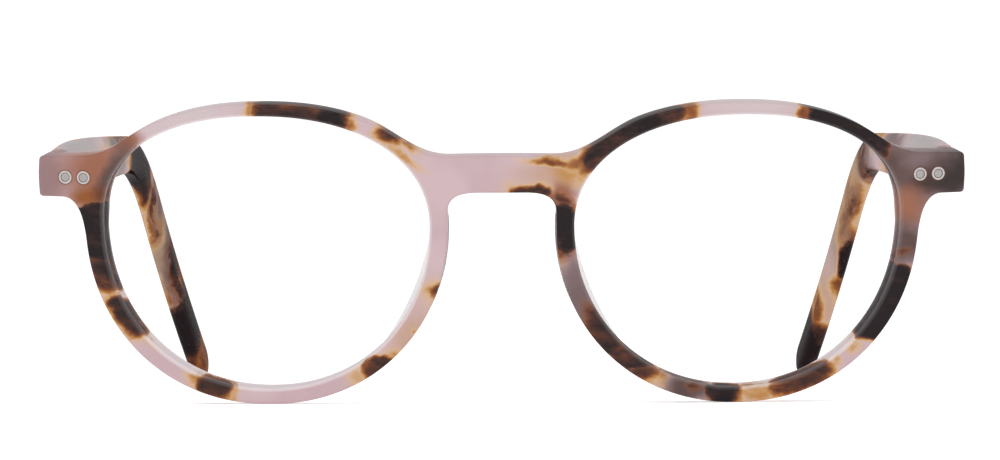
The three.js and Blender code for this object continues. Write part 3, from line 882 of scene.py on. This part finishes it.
def temple_at(distance):
    """The middle of the temple at a distance from the pin, and how far it has turned down."""
    bend = EAR_RADIUS * EAR_ANGLE
    turn = min(max((distance - EAR_START) / EAR_RADIUS, 0), EAR_ANGLE)
    tail = max(distance - EAR_START - bend, 0)
    back = min(distance, EAR_START) + EAR_RADIUS * math.sin(turn) + tail * math.cos(EAR_ANGLE)
    drop = EAR_RADIUS * (1 - math.cos(turn)) + tail * math.sin(EAR_ANGLE)
    inset = TIP_INSET * max(distance / TEMPLE_LENGTH, 0) ** 2
    return np.array([TEMPLE_MIDDLE - inset, back, -drop]), turn


def temple_section(distance, width_share, height):
    place, turn = temple_at(distance)
    share = distance / TEMPLE_LENGTH
    width = (TEMPLE_THICKNESS + (TIP_THICKNESS - TEMPLE_THICKNESS) * share) * width_share
    angle = (np.arange(SECTION_STEPS) + 0.5) * 2 * math.pi / SECTION_STEPS
    across, up = (
        np.sign(wave) * np.abs(wave) ** (2 / SECTION_EXPONENT)
        for wave in (np.cos(angle), np.sin(angle))
    )
    return np.stack([
        place[0] - across * width / 2,
        place[1] + up * height / 2 * math.sin(turn),
        place[2] + up * height / 2 * math.cos(turn),
    ], axis=-1)


def onto_butt(ring):
    """Slides a ring forward onto the plane that faces the back of the end piece."""
    normal = np.array((END_TO_PIN.to_3x3() @ Vector((0, 0, -1))).normalized())
    start = np.array(END_TO_PIN @ Vector((0, 0, -END_THICKNESS - BUTT_GAP)))
    ring = ring.copy()
    ring[:, 1] += (start - ring) @ normal / normal[1]
    return ring


def make_temple(side):
    nose = TEMPLE_HEIGHT / 2
    butt = onto_butt(temple_section(0, 1, TEMPLE_HEIGHT))
    middle = butt.mean(axis=0)
    inner = onto_butt(middle + (butt - middle) * (1 - BUTT_EASE_SHARE))
    rings = [inner, butt + (0, BUTT_EASE, 0)]
    for distance in np.linspace(FIRST_RING, TEMPLE_LENGTH - nose, TEMPLE_RINGS):
        rings.append(temple_section(distance, 1, temple_height(distance)))
    for into in np.sin(np.linspace(0, math.pi / 2, TIP_RINGS))[1:-1]:
        distance = TEMPLE_LENGTH - nose + nose * into
        round_off = math.sqrt(1 - into**2)
        height = temple_height(distance) * round_off
        rings.append(temple_section(distance, math.sqrt(round_off), height))
    points = moved(np.vstack(rings), sided(side, PIN_PLACE))
    name = f"{side}_temple"
    piece = make_piece(f"{name}_acetate", points, loft_faces(side, rings),
                       f"{side}_temple_arm", name, ACETATE_SHARP)
    reach = LEAF_THICKNESS + LEAF_CLEARANCE
    end = LEAF_LENGTH - NECK_WIDTH / 2 + LEAF_CLEARANCE
    half = LEAF_HEIGHT / 2 + LEAF_CLEARANCE
    low = (HINGE_OFFSET - reach, end - 2 * LEAF_LENGTH, -half)
    cut_pocket(piece, side, PIN_PLACE, low, (HINGE_OFFSET + reach, end, half))
    soften(piece, ACETATE_SHARP)
    return piece


temples = {side: make_temple(side) for side in SIDES}

# Materials


class Nodes:
    """Short calls for building one node tree."""

    def __init__(self, tree):
        self.tree = tree

    def put(self, value, socket):
        if isinstance(value, bpy.types.NodeSocket):
            self.tree.links.new(value, socket)
        else:
            socket.default_value = value

    def add(self, kind, *values, **settings):
        """A node with its settings made and its first sockets filled in order."""
        node = self.tree.nodes.new(f"ShaderNode{kind}")
        for name, value in settings.items():
            setattr(node, name, value)
        for value, socket in zip(values, node.inputs):
            self.put(value, socket)
        return node

    def math(self, operation, *values):
        return self.add("Math", *values, operation=operation).outputs[0]

    def vector(self, operation, *values):
        return self.add("VectorMath", *values, operation=operation).outputs[0]

    def scaled(self, vector, factor):
        node = self.add("VectorMath", vector, operation="SCALE")
        self.put(factor, node.inputs["Scale"])
        return node.outputs[0]

    def noise(self, vector, scale, detail=2.0, roughness=0.5, colour=False):
        node = self.add("TexNoise", vector)
        node.inputs["Scale"].default_value = scale
        node.inputs["Detail"].default_value = detail
        node.inputs["Roughness"].default_value = roughness
        return node.outputs["Color" if colour else "Fac"]

    def mapped(self, vector, place, turn, size):
        """The vector in the frame of a box at a place, turned by Euler angles and sized to one."""
        return self.add("Mapping", vector, place, turn, size, vector_type="TEXTURE").outputs[0]

    def reach(self, *box):
        """How far a vector lies from the middle of such a box, as a share of its half sizes."""
        node = self.add("VectorMath", self.mapped(*box), operation="LENGTH")
        return node.outputs["Value"]

    def spread(self, value, low, high, start=0.0, end=1.0, way="SMOOTHSTEP"):
        node = self.add("MapRange", value, low, high, start, end, interpolation_type=way)
        return node.outputs[0]

    def mix(self, share, first, second):
        node = self.add("Mix", data_type="RGBA")
        self.put(share, node.inputs["Factor"])
        for value, name in ((first, "A"), (second, "B")):
            socket = next(s for s in node.inputs if s.name == name and s.type == "RGBA")
            self.put(value if isinstance(value, bpy.types.NodeSocket) else (*value, 1.0), socket)
        return next(s for s in node.outputs if s.type == "RGBA")

    def ramp(self, value, stops):
        node = self.add("ValToRGB", value)
        elements = node.color_ramp.elements
        while len(elements) > 1:
            elements.remove(elements[-1])
        elements[0].position = stops[0][0]
        elements[0].color = (*stops[0][1], 1.0)
        for position, colour in stops[1:]:
            elements.new(position).color = (*colour, 1.0)
        return node.outputs[0]

    def light(self, colour):
        return self.add("RGBToBW", colour).outputs[0]


class Surface(Nodes):
    """The node tree of one material, round its Principled shader."""

    def __init__(self, name):
        self.material = bpy.data.materials.new(name)
        self.material.use_nodes = True
        super().__init__(self.material.node_tree)
        self.tree.nodes.clear()
        self.shader = self.add("BsdfPrincipled")
        self.add("OutputMaterial", self.shader.outputs[0])
        self.place = self.add("TexCoord").outputs["Object"]

    def fill(self, sockets):
        """Links or sets sockets of the shader by name."""
        for name, value in sockets.items():
            self.put(value, self.shader.inputs[name])

    def bump(self, height, strength, distance):
        node = self.add("Bump")
        node.inputs["Strength"].default_value = strength
        node.inputs["Distance"].default_value = distance
        self.put(height, node.inputs["Height"])
        self.fill({"Normal": node.outputs[0]})


STUDIO_SHARE = 0.8


def linear(*screen):
    """The surface colour that shows as an sRGB screen colour, 0 to 255, in this studio's light."""
    shares = (value / 255 for value in screen)
    return tuple(
        STUDIO_SHARE * (share / 12.92 if share <= 0.04045 else ((share + 0.055) / 1.055) ** 2.4)
        for share in shares
    )


PINK = linear(211, 185, 189)
ROSE = linear(203, 175, 180)
# Painted light: a paler pink for the upper rims, as they stand lit from above
TOP_LIT_PALE = linear(211, 193, 196)
# Painted light for the inner walls of the lens openings
WALL_LIGHT_IVORY = linear(250, 242, 245)
BLACK = linear(28, 16, 19)
DARK = linear(48, 30, 28)
BROWN = linear(72, 42, 34)
UMBER = linear(106, 58, 34)
ORANGE = linear(150, 88, 44)
AMBER = linear(194, 142, 84)
HONEY = linear(216, 178, 136)
PEACH = linear(200, 164, 146)
COPPER = linear(158, 104, 82)
MAUVE = linear(154, 124, 125)
TAUPE = linear(128, 106, 108)
DUSK = linear(96, 74, 70)
SEPIA = linear(74, 54, 50)
SMOKE = linear(108, 84, 82)
SOOT = linear(56, 46, 44)
GREY = linear(126, 122, 120)
# Painted highlight: pale silver for the top and inner side of the temples near the hinges
SILVER_HIGHLIGHT = linear(182, 174, 175)
SAND = linear(166, 138, 116)

PIXELS_PER_MM = 6.83
DRAWN_ROW_PIXELS = 6.74
DRAWN_ORIGIN_PIXEL = (502, 252.7)


def photo_place(pixel_x, pixel_y, depth):
    """The spot of the front that shows at a pixel of the photograph, in metres."""
    u = (pixel_x - DRAWN_ORIGIN_PIXEL[0]) / PIXELS_PER_MM
    v = (DRAWN_ORIGIN_PIXEL[1] - pixel_y) / DRAWN_ROW_PIXELS
    return front_place(u, v, -depth) * MM


# Blotches of the front: pixel of the photograph, half width and half height in pixels, clockwise
# turn in degrees, softness of the edge in millimetres, and how dark: 1 is black, more is wider
FRONT_BLOTCHES = (
    (92, 237, 42, 31, 0, 0.5, 1.14),
    (103, 270, 32, 27, -17, 1.2, 0.92),
    (124, 321, 20, 28, -40, 0.8, 0.9),
    (113, 300, 18, 14, 0, 1.6, 0.5),
    (145, 345, 12, 8, 40, 1.2, 0.42),
    (207, 391, 20, 12, 12, 0.6, 0.8),
    (189, 384, 14, 10, 10, 1.0, 0.44),
    (225, 393, 9, 16, -20, 0.5, 0.4),
    (297, 110, 51, 34, 0, 0.9, 0.86),
    (246, 108, 8, 20, 20, 1.0, 0.5),
    (328, 116, 20, 22, 0, 1.4, 1.2),
    (347, 122, 11, 16, 0, 0.8, 0.5),
    (388, 134, 15, 10, 25, 1.0, 0.84),
    (403, 139, 22, 5, 30, 0.8, 0.66),
    (398, 150, 34, 6, 30, 1.0, 0.44),
    (436, 291, 9, 12, 15, 0.7, 0.68),
    (431, 292, 13, 20, 12, 1.2, 0.36),
    (377, 369, 20, 14, -38, 0.6, 0.9),
    (356, 379, 13, 12, -25, 1.2, 0.42),
    (389, 356, 14, 12, -38, 1.2, 0.46),
    (413, 325, 3, 4, 0, 0.6, 0.5),
    (431, 311, 7, 15, 22, 1.2, 0.38),
    (576, 160, 14, 7, 0, 1.0, 0.66),
    (552, 160, 30, 5, 2, 1.0, 0.56),
    (584, 172, 9, 12, 20, 1.0, 0.42),
    (530, 193, 22, 10, 0, 0.6, 0.78),
    (528, 190, 28, 11, 0, 1.2, 0.34),
    (561, 201, 20, 14, 10, 1.0, 0.72),
    (565, 226, 18, 29, -4, 0.9, 1.16),
    (567, 252, 18, 14, -8, 1.8, 0.78),
    (596, 314, 24, 26, -38, 2.4, 0.84),
    (608, 330, 28, 36, -40, 2.0, 0.94),
    (634, 356, 32, 25, 34, 1.8, 0.86),
    (668, 380, 20, 14, 16, 1.2, 0.52),
    (697, 390, 14, 16, 0, 1.4, 0.72),
    (724, 396, 20, 15, 0, 0.7, 1.2),
    (740, 398, 9, 12, 0, 0.9, 0.68),
    (760, 395, 28, 15, 0, 0.8, 0.42),
    (804, 385, 40, 18, -20, 1.0, 0.84),
    (841, 365, 8, 12, 0, 0.9, 0.42),
    (890, 306, 34, 44, 24, 0.6, 1.16),
    (872, 334, 15, 12, -40, 0.6, 1.1),
    (858, 349, 9, 11, 0, 0.8, 0.4),
    (905, 261, 18, 8, -8, 0.8, 0.74),
    (602, 150, 30, 21, -35, 0.9, 0.88),
    (618, 138, 26, 22, -32, 1.0, 0.9),
    (636, 126, 30, 19, -24, 0.9, 1.0),
    (664, 113, 22, 18, -10, 0.8, 0.84),
    (687, 111, 12, 16, 0, 0.6, 0.54),
    (807, 112, 9, 18, 15, 0.8, 0.6),
    (820, 122, 17, 7, 14, 0.9, 0.46),
    (851, 127, 48, 25, 24, 0.6, 1.14),
    (882, 152, 16, 14, 40, 0.8, 1.14),
)

# Soft tones of the front, measured the same way: pixel, half width, half height, turn, colour
FRONT_TONES = (
    # The first two tones are painted light: they make both upper rims paler, as lit from above
    (190, 118, 70, 30, -10, TOP_LIT_PALE),
    (748, 102, 70, 20, 0, TOP_LIT_PALE),
    (40, 182, 34, 52, 0, MAUVE),
    (90, 174, 44, 50, 0, COPPER),
    (120, 146, 22, 14, -35, COPPER),
    (106, 176, 13, 44, 32, DUSK),
    (80, 204, 18, 14, 0, ORANGE),
    (98, 200, 18, 16, 0, UMBER),
    (410, 332, 30, 36, 20, PEACH),
    (552, 174, 46, 18, 0, PEACH),
    (564, 192, 22, 18, 0, COPPER),
    (572, 166, 26, 18, -10, AMBER),
    (576, 280, 34, 50, 0, TAUPE),
    (610, 330, 66, 54, 38, DUSK),
    (690, 388, 40, 26, 10, DUSK),
    (922, 178, 74, 66, 0, SMOKE),
    (892, 166, 24, 26, 20, DUSK),
    (926, 164, 22, 13, 0, TAUPE),
    (944, 192, 38, 16, 0, SEPIA),
    (968, 182, 30, 50, 0, SOOT),
    (908, 214, 30, 28, 0, COPPER),
    (908, 252, 38, 32, 0, DUSK),
)

# Blotches of the temples, in millimetres: distance from the pin, rise, way out from the middle,
# half length, half height, half width, softness, and how dark
TEMPLE_BLOTCHES = {
    "right": (
        (8, -1.2, 1.9, 15, 3.6, 2.2, 1.6, 0.95),
        (36, 1.8, 1.9, 14, 2.6, 2.0, 1.4, 0.84),
        (42, -2, 1.9, 9, 2.6, 3, 1.4, 0.48),
        (58, -1.5, 1.9, 12, 3, 3, 1.2, 0.92),
        (79, 2, 1.9, 17, 3.6, 3, 2.0, 1.0),
        (24, -2.6, -1.9, 18, 2.4, 2.4, 1.4, 0.9),
        (56, -1, -1.9, 12, 3, 3, 1.6, 0.6),
        (88, 0, -1.2, 10, 8, 3.4, 1.6, 1.2),
        (97, -1, -0.3, 7, 7, 1.6, 1.4, 0.92),
        (104, -1, -1.3, 7, 6, 1.4, 1.4, 0.8),
        (109, -2, 0.3, 5, 5, 1.2, 1.2, 0.66),
        (117, 0, -2.0, 11, 7, 1.5, 1.2, 0.95),
        (124, -1, 0.6, 4.5, 5, 2.2, 1.2, 0.68),
        (132, 0, -0.4, 8.5, 7, 4, 1.4, 1.2),
        (142, 0, 0, 8, 7, 5, 1.4, 0.7),
    ),
    "left": (
        (6, -1.2, 1.9, 13, 3.6, 2.2, 1.6, 0.92),
        (27, -2, 1.9, 13, 2.8, 3, 1.2, 0.84),
        (40, 1.8, 1.9, 13, 2.6, 2.0, 1.4, 0.5),
        (62, -1, 1.9, 13, 3.2, 3, 1.2, 0.96),
        (83, 2, 1.9, 13, 3.4, 3, 1.8, 0.86),
        (27, -2.6, -1.9, 15, 2.4, 2.4, 1.4, 0.86),
        (58, -1.5, -1.9, 13, 3, 3, 1.6, 0.7),
        (90, -1, 0.2, 7, 7, 3.0, 1.4, 0.84),
        (102, -1, -0.9, 8, 7, 1.8, 1.6, 0.6),
        (109, -1, -0.5, 6, 7, 1.9, 1.4, 0.56),
        (113, -1, 0.9, 5, 6, 1.9, 1.2, 0.68),
        (116.5, -1, 1.3, 5.8, 6, 1.7, 0.9, 1.2),
        (123, -1, 1.2, 4, 6, 1.7, 1.2, 0.64),
        (129, 0, -1.2, 4, 6, 1.8, 1.4, 0.6),
        (139.5, 0, -1.0, 9, 7, 3.6, 1.2, 1.2),
        (137, 0, 1.0, 6.5, 7, 2.8, 1.2, 0.9),
    ),
}

# Soft tones of the temples: distance, rise, way out, half length, half height, half width, colour
TEMPLE_TONES = {
    "right": (
        (40, 3, 1.9, 14, 6, 3, TAUPE),
        # The silver tone is a painted highlight on the top and inner side near the hinge
        (18, 2.4, -1.6, 40, 6.0, 3.0, SILVER_HIGHLIGHT),
        (66, 1.6, -1.9, 16, 7, 2.6, GREY),
        (92, 0, 0, 14, 12, 6, DUSK),
        (112, 0, -0.3, 19, 12, 6, SAND),
        (108, -2, 1.9, 24, 8, 1.8, PEACH),
        (112, 0, -2.0, 24, 9, 1.5, SMOKE),
    ),
    "left": (
        (44, 3, 1.9, 14, 6, 3, TAUPE),
        # The silver tone is a painted highlight on the top and inner side near the hinge
        (18, 2.4, -1.6, 40, 6.0, 3.0, SILVER_HIGHLIGHT),
        (58, 1.6, -1.9, 18, 7, 2.2, TAUPE),
        (90, 0, 0, 13, 12, 6, SMOKE),
        (106, 0, 0, 20, 12, 6, SAND),
        (108, -2, 1.9, 18, 8, 1.8, PEACH),
        (127, 0, 0, 10, 12, 6, PEACH),
    ),
}

# Noise of the acetate: scale per metre and detail, then a warp's reach in metres or a cloud's
# roughness. A span is the low and high of a value; a bump is its strength and height in metres
WARPS = ((170.0, 0.0, 0.0026), (900.0, 1.0, 0.0008))
MILK_SCALE = 110.0
MILK_SPAN = (0.35, 0.65)
CLOUDS = (420.0, 3.0, 0.55)
CLOUD_DEPTHS = (0.7, 1.14)
FRONT_STREAK = ((0, 0, 0), (2.4, 1.0, 0.8))
TEMPLE_STREAK = ((-EAR_ANGLE * 0.9, 0, 0), (0.9, 4.0, 0.9))
WEAR = (900.0, 4.0)
WEAR_ROUGHNESS = (0.17, 0.25)
RIPPLE = (380.0, 3.0)
RIPPLE_BUMP = (0.06, 0.0001)
NOISE_SPAN = (0.3, 0.7)
NOISE_MIDDLE = (0.5, 0.5, 0.5)

# How deep blotches reach, in millimetres, how they and the tones fade, and the colours from a
# blotch's edge to its middle. Four numbers are a span and what its ends are mapped to
BLOTCH_DEPTH = 6.0
TONE_FADE = (1.2, 0.3)
FADE_OUTSIDE = 1.4
FADE_INSIDE = 1.6
HALO_SHADES = (0.04, 0.4)
HALO_LIGHTS = (0.14, 0.3)
COVER_SHADES = (0.42, 0.72)
SHADE_STOPS = (
    (0.0, HONEY), (0.28, HONEY), (0.4, AMBER), (0.53, ORANGE),
    (0.65, UMBER), (0.76, BROWN), (0.88, DARK), (1.0, BLACK),
)
# A ring of painted shade round each rivet head: a reach in head radii, mapped to how much umber is
# mixed in
RIVET_SHADE_RING = (1.32, 1.0, 0.0, 0.6)
# Painted light on the inner walls of the openings: a span of the acetate's lightness, mapped to
# how much ivory is mixed in
WALL_LIGHT_PAINTING = (0.16, 0.36, 0.08, 0.7)

FRONT_COAT = 0.38
TEMPLE_COAT = 0.13
ACETATE = {
    "IOR": 1.48,
    "Specular IOR Level": 0.0,
    "Coat IOR": 1.48,
    "Coat Roughness": 0.09,
    "Subsurface Weight": 0.1,
    "Subsurface Radius": (1.0, 0.55, 0.4),
    "Subsurface Scale": 0.0008,
}
PAD_COLOURS = (linear(238, 230, 230), linear(226, 220, 222))
PAD_CLOUD_SCALE = 160.0
PAD_ACETATE = {"Roughness": 0.12, "Transmission Weight": 0.75, "IOR": 1.48}
LENS = {
    "Base Color": (0.012, 0.013, 0.013, 1),
    "Roughness": 0.02,
    "Alpha": 0.025,
    "IOR": 1.5,
    "Specular IOR Level": 0.25,
}

# Metals: colour, roughness, and grain per metre
METALS = {
    "rivet_ring": (linear(212, 206, 203), 0.28, 2600.0),
    "rivet_disc": (linear(184, 180, 178), 0.34, 3400.0),
    "rivet_groove": (linear(162, 157, 154), 0.4, 3400.0),
    "hinge_silver": (linear(206, 204, 198), 0.24, 2600.0),
    "screw_steel": (linear(186, 188, 192), 0.22, 3000.0),
    "core_wire": (linear(200, 198, 192), 0.25, 2000.0),
}
METAL_DETAIL = 4.0
METAL_DIMMING = 0.86
METAL_WEAR = 0.12
METAL_BUMP = (0.08, 0.00002)


def front_spots(table):
    """Rows of the front as a place, half sizes and turn in metres, and the rest of each row."""
    spots = []
    for pixel_x, pixel_y, half_width, half_height, turn, *rest in table:
        place = tuple(photo_place(pixel_x, pixel_y, FRONT_THICKNESS / 4))
        width, height = (size / PIXELS_PER_MM * MM for size in (half_width, half_height))
        half = (width, BLOTCH_DEPTH * MM, height)
        spots.append((place, half, (0, math.radians(turn), 0), *rest))
    return spots


def temple_spots(side, table):
    spots = []
    for distance, rise, out, half_length, half_height, half_width, *rest in table[side]:
        place, turn = temple_at(distance)
        up = np.array([0, math.sin(turn), math.cos(turn)]) * rise
        place = moved(place + up + (out, 0, 0), sided(side, PIN_PLACE))
        half = (half_width * MM, half_length * MM, half_height * MM)
        spots.append((tuple(place * MM), half, (-turn, 0, 0), *rest))
    return spots


def tortoise(name, blotches, tones, streak, coat, rivet_places=()):
    """Milky pink acetate with dark brown and honey blotches that reach into its depth."""
    nodes = Surface(name)
    drifts = []
    for scale, detail, reach in WARPS:
        drift = nodes.noise(nodes.place, scale, detail, colour=True)
        drifts.append(nodes.scaled(nodes.vector("SUBTRACT", drift, NOISE_MIDDLE), reach))
    vector = nodes.vector("ADD", nodes.place, nodes.vector("ADD", *drifts))
    milk = nodes.noise(nodes.place, MILK_SCALE)
    colour = nodes.mix(nodes.spread(milk, *MILK_SPAN), PINK, ROSE)
    for place, half, turn, tone in tones:
        reach = nodes.reach(vector, place, turn, half)
        colour = nodes.mix(nodes.spread(reach, *TONE_FADE), colour, tone)
    shade = 0.0
    for place, half, turn, ease, depth in blotches:
        share = ease * MM / math.sqrt(half[0] * half[2])
        reach = nodes.reach(vector, place, turn, half)
        fade = (1 + FADE_OUTSIDE * share, 1 - FADE_INSIDE * share)
        shade = nodes.math("MAXIMUM", shade, nodes.spread(reach, *fade, 0.0, depth))
    cloud = nodes.noise(nodes.mapped(vector, (0, 0, 0), *streak), *CLOUDS)
    cloud = nodes.spread(cloud, *NOISE_SPAN, *CLOUD_DEPTHS, way="LINEAR")
    shade = nodes.math("MULTIPLY", shade, cloud)
    light = nodes.spread(nodes.light(colour), *HALO_LIGHTS)
    halo = nodes.math("MULTIPLY", nodes.spread(shade, *HALO_SHADES), light)
    share = nodes.math("MAXIMUM", halo, nodes.spread(shade, *COVER_SHADES))
    colour = nodes.mix(share, colour, nodes.ramp(shade, SHADE_STOPS))
    # Painted shade: an umber ring in the acetate round each rivet head, where the head meets the
    # front
    for place in rivet_places:
        reach = nodes.reach(nodes.place, place, (0, 0, 0), (RIVET_HEAD_RADIUS * MM,) * 3)
        colour = nodes.mix(nodes.spread(reach, *RIVET_SHADE_RING), colour, UMBER)
    # Painted light: the inner walls of the lens openings are made paler, as if light shone through
    # the thin acetate there
    if rivet_places:
        wall = nodes.add("Attribute", attribute_name="inner_wall").outputs["Fac"]
        wall_light = nodes.spread(nodes.light(colour), *WALL_LIGHT_PAINTING)
        colour = nodes.mix(nodes.math("MULTIPLY", wall, wall_light), colour, WALL_LIGHT_IVORY)
    worn = nodes.spread(nodes.noise(nodes.place, *WEAR), *NOISE_SPAN, *WEAR_ROUGHNESS)
    nodes.fill({"Base Color": colour, "Roughness": worn, "Coat Weight": coat, **ACETATE})
    nodes.bump(nodes.noise(nodes.place, *RIPPLE), *RIPPLE_BUMP)
    return nodes.material


def front_acetate():
    places = [
        tuple(np.array(sided(side, END_PLACE) @ Vector((way * RIVET_SPACING / 2, 0, 0))) * MM)
        for side in SIDES for way in (-1, 1)
    ]
    return tortoise("front_tortoise", front_spots(FRONT_BLOTCHES), front_spots(FRONT_TONES),
                    FRONT_STREAK, FRONT_COAT, places)


def temple_acetate(side):
    blotches, tones = temple_spots(side, TEMPLE_BLOTCHES), temple_spots(side, TEMPLE_TONES)
    return tortoise(f"{side}_temple_tortoise", blotches, tones, TEMPLE_STREAK, TEMPLE_COAT)


def clear_lens():
    nodes = Surface("clear_lens")
    nodes.fill(LENS)
    return nodes.material


def clear_acetate():
    nodes = Surface("clear_acetate")
    cloud = nodes.noise(nodes.place, PAD_CLOUD_SCALE)
    colour = nodes.mix(nodes.spread(cloud, *NOISE_SPAN), *PAD_COLOURS)
    nodes.fill({"Base Color": colour, **PAD_ACETATE})
    return nodes.material


def metal(name):
    tone, roughness, grain = METALS[name]
    dim = tuple(value * METAL_DIMMING for value in tone)
    nodes = Surface(name)
    streak = nodes.noise(nodes.place, grain, METAL_DETAIL)
    colour = nodes.mix(nodes.spread(streak, *NOISE_SPAN), tone, dim)
    worn = nodes.spread(streak, *NOISE_SPAN, roughness, roughness + METAL_WEAR)
    nodes.fill({"Base Color": colour, "Roughness": worn, "Metallic": 1.0})
    nodes.bump(streak, *METAL_BUMP)
    return nodes.material


def cover(pieces, *materials):
    """Gives pieces their materials. Clearing an empty list would reset the faces' choice."""
    for piece in pieces:
        if len(piece.data.materials):
            piece.data.materials.clear()
        for material in materials:
            piece.data.materials.append(material)


cover([front], front_acetate())
for side, temple in temples.items():
    cover([temple], temple_acetate(side))
cover(lenses, clear_lens())
cover(pads, clear_acetate())
cover(rivets, metal("rivet_ring"), metal("rivet_disc"), metal("rivet_groove"))
cover(leaves, metal("hinge_silver"))
cover(screws, metal("screw_steel"))
cover([frame["nodes"][f"{side}_temple_core"] for side in SIDES], metal("core_wire"))

# The floor, reaching so many millimetres each way, and the studio light, in metres

FLOOR_REACH = 60000
FLOOR_CORNERS = ((-1, -1, 0), (1, -1, 0), (1, 1, 0), (-1, 1, 0))
FLOOR_GRAIN = 3.0
FLOOR_COLOURS = ((0.93, 0.93, 0.93), (0.91, 0.91, 0.91))
FLOOR = {"Roughness": 0.9, "Emission Color": (1, 1, 1, 1), "Emission Strength": 0.34}
WORLD_STRENGTH = 1.12
HIGH_DIMMING = (0.06, 0.24, 0.0, 0.3)
BEHIND_DIMMING = (-0.5, 0.2, 0.2, 1.0)

# Lights: name, place, width and height, watts
LIGHTS = (
    ("key", (-0.3, -0.9, 1.1), (0.8, 0.2), 2.4),
    ("fill", (0.9, -0.9, 0.7), (0.9, 0.9), 0.7),
)
LIGHT_AIM = (0, 0, 0.02)


def make_floor():
    floor = mesh_object("floor", np.array(FLOOR_CORNERS) * FLOOR_REACH, [(0, 1, 2, 3)])
    nodes = Surface("pale_floor")
    grain = nodes.noise(nodes.place, FLOOR_GRAIN)
    colour = nodes.mix(nodes.spread(grain, *NOISE_SPAN), *FLOOR_COLOURS)
    nodes.fill({"Base Color": colour, **FLOOR})
    cover([floor], nodes.material)


def make_light(name, place, size, power):
    data = bpy.data.lights.new(name, "AREA")
    data.shape = "RECTANGLE"
    data.size, data.size_y = size
    data.energy = power
    light = new_object(name, data)
    light.location = place
    aim = Vector(LIGHT_AIM) - Vector(place)
    light.rotation_euler = aim.to_track_quat("-Z", "Y").to_euler()


def make_world():
    """White at the horizon and in front, and dimmer high up behind, so top walls stay soft."""
    world = bpy.data.worlds.new("studio")
    bpy.context.scene.world = world
    world.use_nodes = True
    nodes = Nodes(world.node_tree)
    place = nodes.add("TexCoord").outputs["Generated"]
    parts = nodes.add("SeparateXYZ", place).outputs
    high = nodes.spread(parts["Z"], *HIGH_DIMMING)
    behind = nodes.spread(parts["Y"], *BEHIND_DIMMING)
    strength = nodes.math("SUBTRACT", WORLD_STRENGTH, nodes.math("MULTIPLY", high, behind))
    background = nodes.tree.nodes["Background"]
    background.inputs["Color"].default_value = (1, 1, 1, 1)
    nodes.put(strength, background.inputs["Strength"])


make_floor()
make_world()
for light in LIGHTS:
    make_light(*light)
bpy.context.scene.view_settings.view_transform = "Standard"
